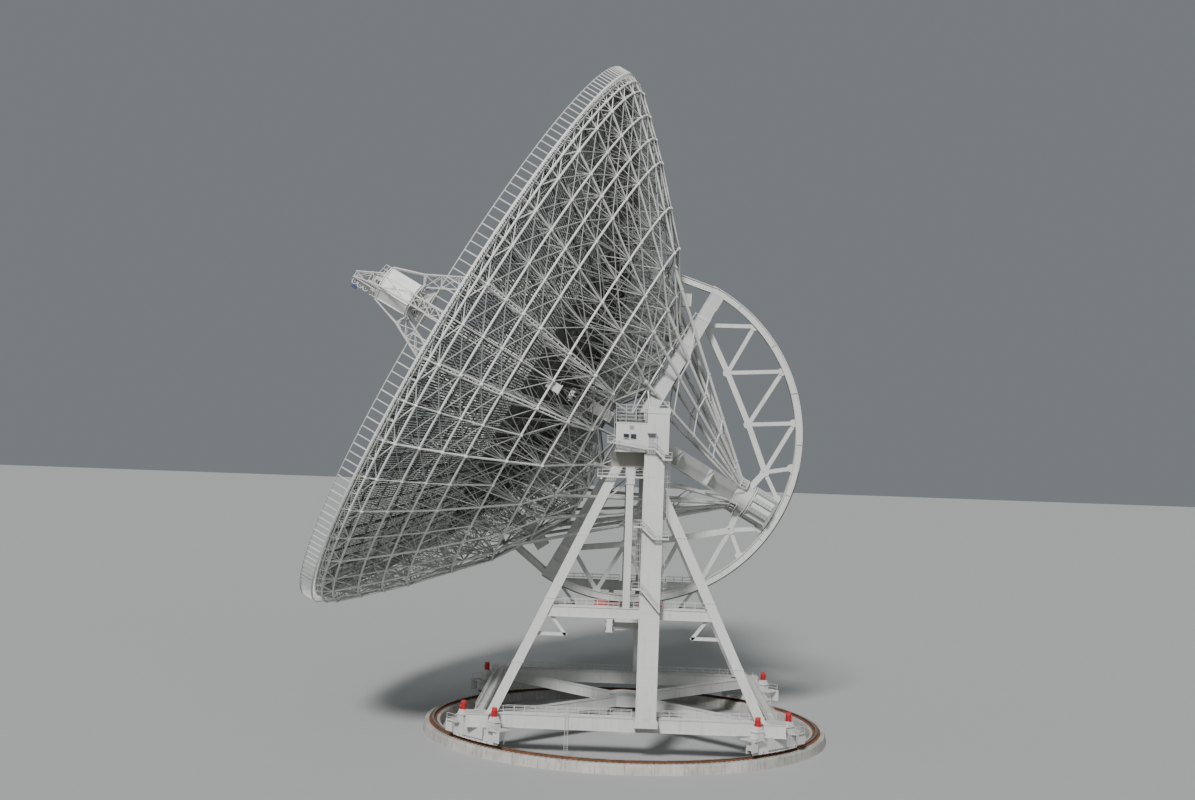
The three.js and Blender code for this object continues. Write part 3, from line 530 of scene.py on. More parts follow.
def ladder(form, foot, top, out, width=0.5, cage=True):
    """A ladder with safety hoops; out is the way it faces."""
    foot, top, out = Vector(foot), Vector(top), Vector(out).normalized()
    rise = (top - foot).normalized()
    side = rise.cross(out).normalized()
    for way in (-1, 1):
        form.tube(foot + side * (way * width / 2), top + side * (way * width / 2), 0.035, 5)
    length = (top - foot).length
    for i in range(int(length / RUNG_STEP)):
        middle = foot + rise * (0.2 + RUNG_STEP * i)
        form.tube(middle - side * width / 2, middle + side * width / 2, 0.018, 4)
    if not cage:
        return
    turns = [math.radians(d) for d in range(0, 181, 30)]
    arc = [side * (0.38 * math.cos(a)) + out * (HOOP_REACH * math.sin(a)) for a in turns]
    for i in range(max(0, int((length - FIRST_HOOP) / HOOP_STEP) + 1)):
        centre = foot + rise * (FIRST_HOOP + HOOP_STEP * i)
        form.bent([centre + offset for offset in arc], 0.022, 4)
    for offset in arc[1::2]:
        form.tube(foot + rise * FIRST_HOOP + offset, top + offset, 0.018, 4)


def bands(form, a, b, width, height, spacing, up=(0, 0, 1), proud=0.09, thick=0.14):
    """Flanged splices round a box girder at even distances."""
    a, b = Vector(a), Vector(b)
    ahead = (b - a).normalized()
    count = max(1, round((b - a).length / spacing))
    for i in range(1, count):
        middle = between(a, b, i / count)
        half = ahead * thick / 2
        form.beam(middle - half, middle + half, width + 2 * proud, height + 2 * proud, up)


# Foundation, rail and pintle

def build_track():
    wall = Form()
    profile = [(30.62, 0), (33.58, 0), (33.4, 1.32), (33.3, 1.5), (30.9, 1.5), (30.8, 1.32)]
    bay = 7.5
    seam = 0.03
    for k in range(48):
        wall.ring(profile, 4, k * bay + seam, bay - 2 * seam)
    wall.make("ring_wall_bays", "foundation", CONCRETE, replaces=["foundation_ring"])

    rail = Form()
    outer = [(0.4, 1.505), (0.4, 1.58), (0.12, 1.66), (0.12, 1.76), (0.2, 1.8), (0.2, 1.88)]
    profile = outer + [(-w, z) for w, z in reversed(outer)]
    rail.ring([(TRACK_RADIUS + w, z) for w, z in profile], 192)
    for k in range(240):
        angle = 1.5 * k
        for r in (TRACK_RADIUS - 0.5, TRACK_RADIUS + 0.5):
            rail.beam(polar(r - 0.16, angle, 1.58), polar(r + 0.16, angle, 1.58), 0.2, 0.14)
            rail.tube(polar(r, angle, 1.62), polar(r, angle, 1.76), 0.05, 6)
    rail.make("azimuth_rail_profile", "foundation", RUST, smooth=40, replaces=["azimuth_rail"])

    strip = Form()
    profile = [(-0.16, 1.875), (0.16, 1.875), (0.16, RAIL_TOP), (-0.16, RAIL_TOP)]
    strip.ring([(TRACK_RADIUS + w, z) for w, z in profile], 192)
    strip.make("rail_running_strip", "foundation", RUNNING)


def build_pintle():
    block = Form()
    base = [(0, 3.2), (0.3, 3.2), (0.45, 3.08), (3.3, 2.9), (3.45, 2.7), (3.45, 1.6)]
    block.rod((0, 0, 0), (0, 0, 1), base, 48)
    block.make("pintle_block", "foundation", CONCRETE, smooth=30, replaces=["pintle_base"])
    steel = Form()
    steel.rod((0, 0, 3.44), (0, 0, 6), [(0, 1.55), (0.16, 1.55), (0.16, 1.1), (0.4, 0.95), (2.3, 0.95)], 32)
    steel.bolts((0, 0, 3.6), (0, 0, 1), 1.35, 16, 0.08)
    steel.make("pintle_pin", "foundation", GREY, smooth=30)
    cable = Form()
    for k in range(7):
        cable.hoop(1.12, 3.72 + 0.09 * k, 0.045, 40)
    cable.make("pintle_cable_turns", "foundation", DARK, smooth=50)


# Base frame and trucks

def build_base_frame():
    """Flanges and splices of the square and of its crossed diagonals, the hub's rims, and railings."""
    trim = Form()
    c = CORNER
    reach = 20.6
    near, far = 2.2, 20.8
    low, middle, top = (Vector((0, 0, z)) for z in (BASE_BOTTOM, (BASE_BOTTOM + BASE_TOP) / 2, BASE_TOP))
    for along in (Vector((1, 0, 0)), Vector((0, 1, 0))):
        for way in (-1, 1):
            centre = along.yxz * (c * way)
            a, b = centre - along * reach, centre + along * reach
            trim.beam(a + top, b + top, 1.64, 0.08)
            trim.beam(centre - along * 17 + low, centre + along * 17 + low, 1.64, 0.08)
            bands(trim, a + middle, b + middle, 1.4, 2.0, 5.15, proud=0.07, thick=0.1)
    for x, y in ((1, 1), (1, -1), (-1, 1), (-1, -1)):
        for z in (4.42, 5.98):
            trim.beam((x * near, y * near, z), (x * far, y * far, z), 1.3, 0.07)
        bands(trim, (x * near, y * near, 5.2), (x * far, y * far, 5.2), 1.1, 1.6, 4.6, proud=0.06, thick=0.1)
        for z in (BASE_TOP, BASE_BOTTOM + 0.06):
            trim.box(x * c - 1.82, x * c + 1.82, y * c - 1.82, y * c + 1.82, z - 0.05, z + 0.05)
    hub = [(0.12, 2.75), (0.24, 2.75), (0.24, 2.62), (2.06, 2.62), (2.06, 2.78), (2.16, 2.78)]
    trim.rod((0, 0, 4.2), (0, 0, 7), hub, 40)
    trim.bolts((0, 0, 6.36), (0, 0, 1), 2.3, 20, 0.09)
    trim.make("base_frame_flanges", "alidade", WHITE)

    walk = Form()
    z = BASE_TOP + 0.06
    for side in (-1, 1):
        for x in (side * (c + 0.42), side * (c - 0.6)):
            for y0, y1 in ((-20.4, 0.9), (5.1, 20.4)):
                railing(walk, [(x, y0, z), (x, y1, z)])
        for y in (side * (c + 0.6), side * (c - 0.6)):
            railing(walk, [(-20.4, y, z), (20.4, y, z)])
    ladder(walk, (c + 0.95, -9.0, 1.1), (c + 0.95, -9.0, 7.4), (1, 0, 0), cage=False)
    walk.make("base_frame_railings", "alidade", WHITE)


TRUCK_HALF = 9.2
TRUCK_WHEEL = 0.55


def cooling_fins(start, pitch, thick, low, high):
    """Distances and radii of eight cooling fins along a motor's barrel."""
    fins = []
    for k in range(8):
        z = start + pitch * k
        fins += [(z, low), (z, high), (z + thick, high), (z + thick, low)]
    return fins


def build_truck(name, angle):
    """Eight wheels under a curved box, with two upright gear housings and red motors."""
    body = Form()
    wheels = Form()
    red = Form()
    plates = [(31.3, 32.7, 2.62, 4.28), (31.16, 31.34, 2.1, 3.0), (32.66, 32.84, 2.1, 3.0),
              (31.2, 32.8, 2.62, 2.7), (31.2, 32.8, 4.2, 4.28)]
    for r0, r1, z0, z1 in plates:
        body.ring([(r0, z0), (r1, z0), (r1, z1), (r0, z1)], 12, angle - TRUCK_HALF, 2 * TRUCK_HALF)
    rim = [(0, 0.2), (0.04, 0.45), (0.1, 0.45), (0.12, TRUCK_WHEEL)]
    wheel = rim + [(0.56 - along, radius) for along, radius in reversed(rim)]
    axle = [(0, 0.1), (0.06, 0.16), (1.84, 0.16), (1.9, 0.1)]
    z = RAIL_TOP + TRUCK_WHEEL + 0.006
    for i in range(8):
        a = angle + (i - 3.5) * 2.3
        wheels.rod(polar(31.72, a, z), polar(33, a, z), wheel, 24)
        wheels.rod(polar(31.05, a, z), polar(33, a, z), axle, 12)
        for r in (31.06, 32.68):
            body.beam(polar(r, a, z), polar(r + 0.26, a, z), 0.5, 0.5)
    for t in (-3.7, 3.7):
        truck_drive(body, red, angle, t)
    body.make(name + "_box", "alidade", WHITE, replaces=[name])
    wheels.make(name + "_wheels", "alidade", GEAR, smooth=35)
    red.make(name + "_motors", "alidade", RED, smooth=35)

    skirt = Form()
    for t0, t1 in ((-6.4, -4.9), (-2.5, 2.5), (4.9, 6.4)):
        skirt.beam(turned(angle, 33.05, t0, 3.6), turned(angle, 33.05, t1, 3.6), 0.05, 1.9)
    for t in (-4.8, 4.8):
        grating(skirt, turned(angle, 30.4, t, 4.36), turned(angle, 33.3, t, 4.36), 2.2)
        railing(skirt, [turned(angle, 33.3, t - 1.1, 4.36), turned(angle, 33.3, t + 1.1, 4.36)])
    skirt.make(name + "_platforms", "alidade", WHITE)


def truck_drive(body, red, angle, t):
    """A tapered gear housing on a truck, t metres along it, with an upright motor and its terminal box."""
    rings = []
    for r0, r1, w, z in ((31.15, 32.55, 0.85, 4.0), (31.25, 32.45, 0.75, 5.4), (31.42, 32.28, 0.5, 6.2)):
        rings.append([turned(angle, r, t + s, z) for r, s in ((r0, -w), (r1, -w), (r1, w), (r0, w))])
    body.loft(rings)
    for z in (4.32, 5.4):
        body.beam(turned(angle, 31.1, t, z), turned(angle, 32.6, t, z), 1.84, 0.1)
    for w in (-0.45, 0.0, 0.45):
        low, high = turned(angle, 32.5, t + w, 4.35), turned(angle, 32.47, t + w, 5.35)
        body.beam(low, high, 0.06, 0.14, polar(1, angle, 0))
    foot = turned(angle, 31.85, t, 6.2)
    barrel = [(0.0, 0.52), (0.1, 0.52), (0.1, 0.38)] + cooling_fins(0.18, 0.1, 0.05, 0.38, 0.45)
    barrel += [(1.02, 0.38), (1.04, 0.43), (1.28, 0.43), (1.36, 0.3)]
    red.rod(foot, foot + Vector((0, 0, 1)), barrel, 20)
    red.beam(turned(angle, 32.4, t, 6.57), turned(angle, 32.4, t, 6.93), 0.3, 0.26)


# Towers

# Low and high X and Y of the web box and the four flanges of a leg, from its middle
LEG_SECTION = (
    (-0.7, 0.7, -0.76, 0.76),
    (-0.8, -0.74, -0.82, 0.82),
    (0.74, 0.8, -0.82, 0.82),
    (-0.74, 0.74, -0.82, -0.76),
    (-0.74, 0.74, 0.76, 0.82),
)


def leg_y(z):
    return CORNER * (AXIS_HEIGHT - z) / (AXIS_HEIGHT - 2)


def leg_x(z):
    return 21.7 + 0.9 * (HEAD_BOTTOM - z) / (HEAD_BOTTOM - BASE_TOP)


def leg_at(side, way, dx, dy, z):
    return Vector((side * leg_x(z) + dx, way * leg_y(z) + dy, z))


def leg_piece(form, side, way, x0, x1, y0, y1, z0, z1):
    """A box that leans with a leg between two heights."""
    outline = ((x0, y0), (x1, y0), (x1, y1), (x0, y1))
    form.loft([[leg_at(side, way, x, y, z) for x, y in outline] for z in (z0, z1)])


def mirrored_box(form, side, x0, x1, y0, y1, z0, z1):
    """A box given for the near tower, and mirrored for the far one."""
    low, high = sorted((side * x0, side * x1))
    form.box(low, high, y0, y1, z0, z1)


def build_legs(tag, side):
    """Leaning box legs with splice collars, and foot plates with their stiffeners."""
    legs = Form()
    for way in (-1, 1):
        for x0, x1, y0, y1 in LEG_SECTION:
            leg_piece(legs, side, way, x0, x1, y0, y1, BASE_TOP + 0.02, HEAD_BOTTOM - 0.02)
        for z in (14.3, 24.2, 34.0):
            leg_piece(legs, side, way, -0.88, 0.88, -0.9, 0.9, z - 0.09, z + 0.09)
        foot = leg_at(side, way, 0, 0, BASE_TOP)
        legs.box(foot.x - 1.15, foot.x + 1.15, foot.y - 1.15, foot.y + 1.15, BASE_TOP + 0.01, BASE_TOP + 0.13)
        for out in (1, -1):
            base = leg_at(side, way, 0.8 * out, 0, BASE_TOP + 0.13)
            rise = (leg_at(side, way, 0.8 * out, 0, BASE_TOP + 1.5) - base).normalized()
            legs.slab([(0, 0), (0.34, 0), (0, 1.2)], 0.04, base, (out, 0, 0), rise)
    legs.make(f"tower_legs_{tag}", "alidade", WHITE,
              replaces=[f"front_leg_{tag}", f"rear_leg_{tag}"])


def build_lift_shaft(tag, side):
    """The lift column: plain walls between corner angles, with a seam at each section and a door."""
    shaft = Form()
    x0, x1 = sorted((side * COLUMN_INNER, side * TOWER_FACE))
    low, high = BASE_TOP + 0.02, 46.68
    shaft.box(x0 + 0.06, x1 - 0.06, 1.5, 4.5, low, high)
    for x in (x0, x1 - 0.12):
        for y in (1.45, 4.43):
            shaft.box(x, x + 0.12, y, y + 0.12, low, high)
    for k in range(9):
        z = 10.4 + 4.1 * k
        shaft.box(x0 + 0.03, x1 - 0.03, 1.47, 4.53, z - 0.04, z + 0.04)
    shaft.box(x0 - 0.1, x1 + 0.05, 1.35, 4.65, BASE_TOP + 0.01, BASE_TOP + 0.25)
    mirrored_box(shaft, side, TOWER_FACE, TOWER_FACE + 0.06, 2.4, 3.5, 6.6, 8.8)
    shaft.make(f"lift_shaft_{tag}", "alidade", WHITE, replaces=[f"lift_column_{tag}"])


def build_strut(tag, side):
    """The upright strut between the tie beam and the tower head."""
    strut = Form()
    x = side * 21.8
    low = TIE_TOP + 0.02
    strut.box(x - 0.52, x + 0.52, -1.02, -0.08, low, HEAD_BOTTOM)
    for dx in (-0.58, 0.52):
        strut.box(x + dx, x + dx + 0.06, -1.1, 0.0, low, HEAD_BOTTOM)
    strut.box(x - 0.72, x + 0.72, -1.25, 0.15, 41.9, HEAD_BOTTOM)
    for z in (26.0, 29.7, 33.4, 37.1):
        strut.box(x - 0.6, x + 0.6, -1.12, 0.02, z - 0.05, z + 0.05)
    strut.make(f"strut_box_{tag}", "alidade", WHITE, replaces=[f"tower_strut_{tag}"])


TIE_MIDDLE = 22.05


def build_tie_beam(tag, side):
    """Flanges, stiffeners and end brackets of a tie beam."""
    tie = Form()
    x = side * TIE_MIDDLE
    for z in (TIE_BOTTOM, TIE_TOP):
        reach = leg_y(z) - 0.9
        tie.box(x - 0.78, x + 0.78, -reach, reach, z - 0.05, z + 0.05)
    for y in (-9.5, -6.2, -3.9, 3.9, 6.2, 9.5):
        tie.box(x - 0.72, x + 0.72, y - 0.05, y + 0.05, TIE_BOTTOM, TIE_TOP)
    for way in (-1, 1):
        tie.beam((x, way * 11.9, TIE_BOTTOM), (x, way * 9.6, 18.4), 0.5, 0.5)
        tie.beam((x, way * 9.6, 18.6), (x, way * (leg_y(18.6) - 0.3), 18.6), 0.5, 0.5)
    tie.make(f"tie_beam_flanges_{tag}", "alidade", WHITE)


def build_tower_walkways(tag, side):
    """Railings on the tie beam, and the deck round the foot of the tower head."""
    rails = Form()
    x = side * TIE_MIDDLE
    for dx in (-0.7, 0.7):
        for y0, y1 in ((-11.6, -1.6), (0.6, 11.6)):
            railing(rails, [(x + dx, y0, TIE_TOP + 0.06), (x + dx, y1, TIE_TOP + 0.06)])

    def deck(x, y, z=HEAD_DECK):
        return side * x, y, z

    for y0, y1 in ((-4.9, -1.3), (0.2, 4.4)):
        grating(rails, deck(23.0, y0), deck(23.0, y1), 1.0)
        railing(rails, [deck(23.5, y0), deck(23.5, min(y1, 1.4))])
    grating(rails, deck(20.6, -4.9), deck(20.6, 4.4), 1.0)
    railing(rails, [deck(20.1, -4.9), deck(20.1, 4.4)])
    grating(rails, deck(20.1, -5.2), deck(23.5, -5.2), 0.8)
    railing(rails, [deck(20.1, -5.6), deck(23.5, -5.6), deck(23.5, -4.9)])
    rails.beam(deck(20.1, -5.0, HEAD_DECK - 0.25), deck(23.5, -5.0, HEAD_DECK - 0.25), 0.3, 0.3)
    rails.make(f"tower_walkways_{tag}", "alidade", WHITE)


def build_column_access(tag, side):
    """Ladders, landings and flights up the outer face of the lift column."""
    form = Form()

    def landing(y0, y1, z, depth=1.0):
        middle = side * (TOWER_FACE + depth / 2)
        grating(form, (middle, y0, z), (middle, y1, z), depth)
        railing(form, [(side * (TOWER_FACE + depth), y, z) for y in (y0, y1)])

    def stairs(y0, z0, y1, z1):
        x = side * (TOWER_FACE + 0.45)
        flight(form, (x, y0, z0), (x, y1, z1), 0.7, (side, 0, 0))

    def rungs(y, z0, z1, way):
        ladder(form, (side * 24.2, y, z0), (side * 24.2, y, z1), (0, way, 0))

    stairs(4.5, TIE_TOP, 1.6, 26.2)
    landing(0.2, 1.6, 26.2)
    rungs(1.25, 26.2, 36.6, -1)
    landing(0.2, 1.4, 35.6)
    stairs(3.2, 33.9, 1.4, 35.6)
    landing(3.2, 5.5, 33.9)
    rungs(4.75, 33.9, 46.6, 1)
    landing(4.2, 5.6, 45.9)
    rungs(4.75, 23.2, 33.4, 1)
    form.make(f"column_stairs_{tag}", "alidade", WHITE)


def build_tower_head(tag, side):
    """Head of the tower under the house: a box on piers with two arched openings."""
    head = Form()
    half = 3.5
    mirrored_box(head, side, 20.9, 22.5, -half, half, HEAD_BOTTOM, 47.1)
    for x in (side * 21.2, side * 22.2):
        head.box(x - 0.05, x + 0.05, -half - 0.05, half + 0.05, HEAD_BOTTOM, 47.0)
    foot = HEAD_DECK + 0.1
    outline = [(-half, HEAD_BOTTOM), (-half, foot)]
    for y in (-1.72, 0.78):
        outline.append((y - ARCH_RADIUS, foot))
        for k in range(9):
            a = math.pi * k / 8
            outline.append((y - ARCH_RADIUS * math.cos(a), ARCH_SPRING + ARCH_RADIUS * math.sin(a)))
        outline.append((y + ARCH_RADIUS, foot))
    outline += [(half, foot), (half, HEAD_BOTTOM)]
    head.slab(outline, 0.8, (side * 21.7, 0, 0), (0, 1, 0), (0, 0, 1))
    # The head takes the dark head paint, which is painted shade under the house's overhang.
    head.make(f"tower_head_{tag}", "alidade", HEAD)


# Low and high X, Y and Z of the near house's walls, eaves, roofs and sill
HOUSE_BOXES = (
    (HOUSE_INNER, TOWER_FACE, -3.0, 1.75, 47.0, 51.2),
    (20.2, TOWER_FACE + 0.06, -3.1, 1.75, 51.2, WING_ROOF),
    (HOUSE_INNER, TOWER_FACE, 1.75, 5.1, 46.7, 52.85),
    (20.2, TOWER_FACE + 0.08, 1.67, 5.2, 52.85, 53.5),
    (HOUSE_INNER, TOWER_FACE - 0.1, 1.9, 5.0, 53.5, HOUSE_ROOF),
    (20.25, TOWER_FACE + 0.05, -3.05, 1.75, 46.88, 47.04),
)


def build_house(tag, side):
    """Machine house on the tower head: a low wing and a taller wing, with the bearing's flange."""
    walls = Form()
    for box in HOUSE_BOXES:
        mirrored_box(walls, side, *box)
    for seams, low, high in (((-1.8, -0.6, 0.6), 47.1, 51.15), ((2.6, 3.45, 4.3), 46.8, 52.8)):
        for y in seams:
            mirrored_box(walls, side, TOWER_FACE, TOWER_FACE + 0.012, y - 0.02, y + 0.02, low, high)
    walls.rod((side * 20.34, 0, AXIS_HEIGHT), (side * 20, 0, AXIS_HEIGHT),
              [(0, 1.7), (0.2, 1.7), (0.2, 1.15), (0.3, 1.05)], 40)
    walls.bolts((side * 20.12, 0, AXIS_HEIGHT), (-side, 0, 0), 1.45, 16, 0.08)
    walls.make(f"machine_house_{tag}", "alidade", WHITE, replaces=[f"bearing_house_{tag}"])


def build_house_trim(tag, side):
    """Two windows, a vent, a door under its canopy and a plain plate on the outer face."""
    glass = Form()
    trim = Form()
    x = side * (TOWER_FACE + 0.03)
    z0, z1 = 48.8, 49.65
    for y0, y1 in ((-1.85, -0.95), (-0.75, 0.15)):
        mirrored_box(glass, side, TOWER_FACE, TOWER_FACE + 0.03, y0, y1, z0, z1)
        for a, b in (((y0, z0), (y1, z0)), ((y0, z1), (y1, z1)), ((y0, z0), (y0, z1)), ((y1, z0), (y1, z1))):
            trim.beam((x, *a), (x, *b), 0.09, 0.09, (1, 0, 0))
    glass.make(f"house_windows_{tag}", "alidade", GLASS)
    for k in range(5):
        z = 50.35 + 0.13 * k
        trim.beam((x, -0.95, z), (x, -0.25, z), 0.05, 0.1, (1, 0, 0.6))
    mirrored_box(trim, side, TOWER_FACE + 0.02, TOWER_FACE + 0.07, 2.0, 2.9, 47.45, 49.45)
    canopy, post, plate = (side * (TOWER_FACE + out) for out in (0.47, 0.82, 0.04))
    trim.beam((canopy, 1.8, 49.85), (canopy, 3.2, 49.85), 0.9, 0.08)
    trim.beam((post, 3.15, 47.45), (post, 3.15, 49.85), 0.08, 0.08)
    trim.beam((plate, -2.4, 47.9), (plate, -2.4, 48.5), 0.4, 0.05, (1, 0, 0))
    trim.make(f"house_trim_{tag}", "alidade", GREY)


def build_roof_plant(tag, side):
    """An open cage on the low wing's roof, with a cooler and two vent stacks in it."""
    cage = Form()
    for x in (20.5, 22.1, 23.7, 25.3):
        for y in (-3.0, -1.5, 0.0, 1.5):
            cage.beam((side * x, y, WING_ROOF), (side * x, y, 54.1), 0.09, 0.09)
    for z in (51.9, 52.45, 53.0, 53.55, 54.1):
        for y in (-3.0, 1.5):
            cage.beam((side * 20.5, y, z), (side * 25.3, y, z), 0.07, 0.07)
        for x in (20.5, 25.3):
            cage.beam((side * x, -3.0, z), (side * x, 1.5, z), 0.07, 0.07)
    cage.make(f"roof_plant_cage_{tag}", "alidade", GREY)
    plant = Form()
    mirrored_box(plant, side, 21, 24.9, -2.6, -0.2, WING_ROOF, 52.75)
    for y in (-2.0, -1.4, -0.8):
        mirrored_box(plant, side, 24.9, 25.0, y - 0.22, y + 0.22, 51.6, 52.55)
    for x, y, levels in ((22.0, 0.7, [(0, 0.5), (1.5, 0.5), (1.5, 0.62), (1.7, 0.62)]),
                         (24.4, 0.6, [(0, 0.5), (1.1, 0.5), (1.2, 0.2)])):
        plant.rod((side * x, y, WING_ROOF), (side * x, y, 60), levels, 16)
    plant.make(f"roof_plant_{tag}", "alidade", PLANT)


def build_house_catwalks(tag, side):
    """The catwalk along the outer face with its stairs, the front landing and the roof's railing."""
    walk = Form()
    x = side * 25.95
    edge = side * 26.5
    path = [(-3.3, 48.2), (1.4, 47.45), (3.0, 47.4)]
    for a, b in zip(path, path[1:]):
        grating(walk, (x, *a), (x, *b), 1.0)
    railing(walk, [(edge, y, z) for y, z in path])
    flight(walk, (x, 4.5, 45.95), (x, 3.0, 47.4), 0.8, (1, 0, 0))
    for y in (-2.8, -0.6, 1.6):
        walk.beam((side * TOWER_FACE, y, 47.0), (side * 26.3, y, 47.6), 0.1, 0.1)
    y, z = -3.65, 48.2
    grating(walk, (side * 20.6, y, z), (side * 26.4, y, z), 1.1)
    railing(walk, [(side * 20.4, y - 0.55, z), (edge, y - 0.55, z), (edge, -3.3, z)], rails=(0.33, 0.66, 1.0))
    ladder(walk, (side * 25.0, -3.25, 48.3), (side * 25.0, -3.25, 52.4), (0, -1, 0), cage=False)
    roof = ((20.5, 1.85), (25.3, 1.85), (25.3, 5.0), (20.5, 5.0))
    railing(walk, [(side * x, y, HOUSE_ROOF) for x, y in roof])
    walk.make(f"house_catwalks_{tag}", "alidade", WHITE)


# Drive bridge and elevation drives

def build_drive_bridge():
    """Flanges and wind bracing of the twin girders, and the walkways beside them."""
    trim = Form()
    bay = 2.1
    for y in (-3.0, 3.0):
        for z in (BRIDGE_BOTTOM, BRIDGE_TOP):
            trim.box(-22.6, 22.6, y - 0.58, y + 0.58, z - 0.04, z + 0.04)
        for k in range(-10, 11):
            for dy in (-0.46, 0.41):
                trim.box(k * bay - 0.03, k * bay + 0.03, y + dy, y + dy + 0.05, BRIDGE_BOTTOM, BRIDGE_TOP)
    for k in range(-10, 10):
        y = 2.6 if k % 2 else -2.6
        trim.beam((k * bay, y, 19.4), ((k + 1) * bay, -y, 19.4), 0.16, 0.16)
    trim.make("drive_bridge_flanges", "alidade", WHITE)
    rails = Form()
    for y in (-3.4, 3.4):
        for x0, x1 in ((-21.2, -3.5), (3.5, 21.2)):
            railing(rails, [(x0, y, 20.44), (x1, y, 20.44)])
            grating(rails, (x0, y * 0.88, 20.5), (x1, y * 0.88, 20.5), 0.9)
    rails.make("drive_bridge_railings", "alidade", WHITE)


def build_drive_deck():
    deck = Form()
    for x in (-3.35, -1.15, 1.15, 3.35):
        deck.beam((x, -5.8, 20.5), (x, 5.8, 20.5), 0.14, 0.18)
    for y in (-5.8, -4.4, -2.2, 0, 2.2, 4.4, 5.8):
        deck.beam((-3.4, y, 20.5), (3.4, y, 20.5), 0.12, 0.16)
    for x in (-2.3, 2.3):
        grating(deck, (x, -5.75, 20.58), (x, 5.75, 20.58), 2.1)
    x, y = 3.38, 5.78
    railing(deck, [(i * x, j * y, 20.6) for i, j in ((-1, -1), (1, -1), (1, 1), (-1, 1), (-1, -1))])
    deck.make("elevation_drive_deck", "alidade", WHITE, replaces=["elevation_drives"])


def build_elevation_drives():
    """Two pinions under the rack, each between a pair of red gearboxes."""
    red = Form()
    steel = Form()
    reach = WHEEL_OUTER + 0.3 + 0.08 + 0.45
    for y in (-4.4, 4.4):
        z = AXIS_HEIGHT - math.sqrt(reach * reach - y * y)
        pinion(steel, y, z)
        for side in (-1, 1):
            gearbox(red, side, y, z)
    red.make("elevation_gearboxes", "alidade", RED, smooth=35)
    steel.make("elevation_pinions", "alidade", GEAR, smooth=35)


def pinion(steel, y, z):
    levels = [(0, 0.34), (0.15, 0.34), (0.15, 0.42), (0.85, 0.42), (0.85, 0.34), (1.0, 0.34)]
    steel.rod((-0.5, y, z), (1, y, z), levels, 24)
    for k in range(14):
        a = 2 * math.pi * k / 14
        across_y, up_z = math.cos(a), math.sin(a)
        spot = y + 0.42 * across_y, z + 0.42 * up_z
        steel.beam((-0.35, *spot), (0.35, *spot), 0.08, 0.09, (0, across_y, up_z))
    steel.rod((-1.5, y, z), (1, y, z), [(0, 0.22), (3.0, 0.22)], 20)


def gearbox(red, side, y, z):
    """A flanged gearbox beside a pinion, with its shaft cover and a finned motor on its inner end."""
    x = side * 2.2
    for w, d, z0, z1 in ((0.88, 1.18, 20.66, 21.3), (0.7, 0.95, 21.3, 21.9), (0.95, 1.22, 21.24, 21.36)):
        red.box(x - w, x + w, y - d, y + d, z0, z1)
    for dy in (-0.7, 0.0, 0.7):
        red.box(x + side * 0.86, x + side * 0.93, y + dy - 0.05, y + dy + 0.05, 20.66, 21.3)
    red.rod((side * 1.3, y, z), (side * 2, y, z), [(0, 0.5), (0.12, 0.5), (0.12, 0.4), (0.3, 0.4)], 24)
    way = math.copysign(1, y)
    foot = Vector((x, y - way * 1.2, 21.25))
    barrel = [(0.0, 0.5), (0.1, 0.5)] + cooling_fins(0.2, 0.12, 0.06, 0.36, 0.44)
    barrel += [(1.2, 0.42), (1.45, 0.42), (1.55, 0.28)]
    red.rod(foot, foot - Vector((0, way, 0)), barrel, 20)


# Bowl: shapes shared by its panels, its ribs and its fence

OUTER_REAR = [(30.5, 9.3), (36, 14.3), (41.2, 19), (46, 23.9), (50, 28.2)]
DEEP_REAR = [(7, 6.2), (18.5, 1.75), (24.4, 5.5)] + OUTER_REAR
BEARING_REAR = [(7, 6.2), (14, 5.6), (18.5, 5.3), (24.4, 5.8)] + OUTER_REAR
REAR_RADII = [7, 12.5, 18.5, 24.4, 30.5, 35.6, 41.2, 44, 46.7, 49.4]
FRONT_RADII = [7, 11.5, 16.5, 21.5, 27.5, 33, 38.5, 42.6, 45.4, 48, 49.9]
OUTER_ZONE = 33.0
LEG_FOOT = ((18.3, 2.0), (25.1, 1.7))
LEG_TOP = (3.8, 43.8)
LEG_HALF = 0.85
QUADRANTS = "abcd"
CHORD_LIFT = 0.16
FRONT_GAP = 0.3


def surface(r):
    return VERTEX + r * r / (4 * FOCAL_LENGTH)


def over_bearing(degrees):
    """Whether a line across the dish runs over one of the two elevation bearings."""
    return abs((degrees + 90) % 180 - 90) < 8


def rear(r, degrees=45.0):
    profile = BEARING_REAR if over_bearing(degrees) else DEEP_REAR
    for (r0, z0), (r1, z1) in zip(profile, profile[1:]):
        if r <= r1:
            return z0 + (z1 - z0) * (r - r0) / (r1 - r0)
    return profile[-1][1]


def front(r):
    return surface(r) - PANEL_DEPTH - FRONT_GAP


def rear_node(r, degrees):
    return polar(r, degrees, rear(r, degrees) + CHORD_LIFT)


def middle_node(r, degrees):
    return polar(r, degrees, (rear(r, degrees) + front(r)) / 2)


def front_node(r, degrees):
    return polar(r, degrees, front(r))


def leg_line(leg):
    """Foot, head, direction and outward direction of a focus leg in its own upright plane."""
    foot = Vector(LEG_FOOT[leg % 2])
    head = Vector(LEG_TOP)
    along = (head - foot).normalized()
    return foot, head, along, Vector((along.y, -along.x))


def leg_spot(leg, r, z, aside=0.0):
    return turned(90 * leg, r, aside, z)


def in_leg(point, grow=0.25):
    """Whether a point of the bowl lies in the notch that a focus leg passes through."""
    for leg in range(4):
        a = math.radians(90 * leg)
        r = point.x * math.cos(a) + point.y * math.sin(a)
        aside = point.y * math.cos(a) - point.x * math.sin(a)
        foot, _, _, out = leg_line(leg)
        off = (Vector((r, point.z)) - foot).dot(out)
        if r > 0 and abs(aside) < LEG_HALF + 0.15 + grow and abs(off) < 1.3 + grow:
            return True
    return False


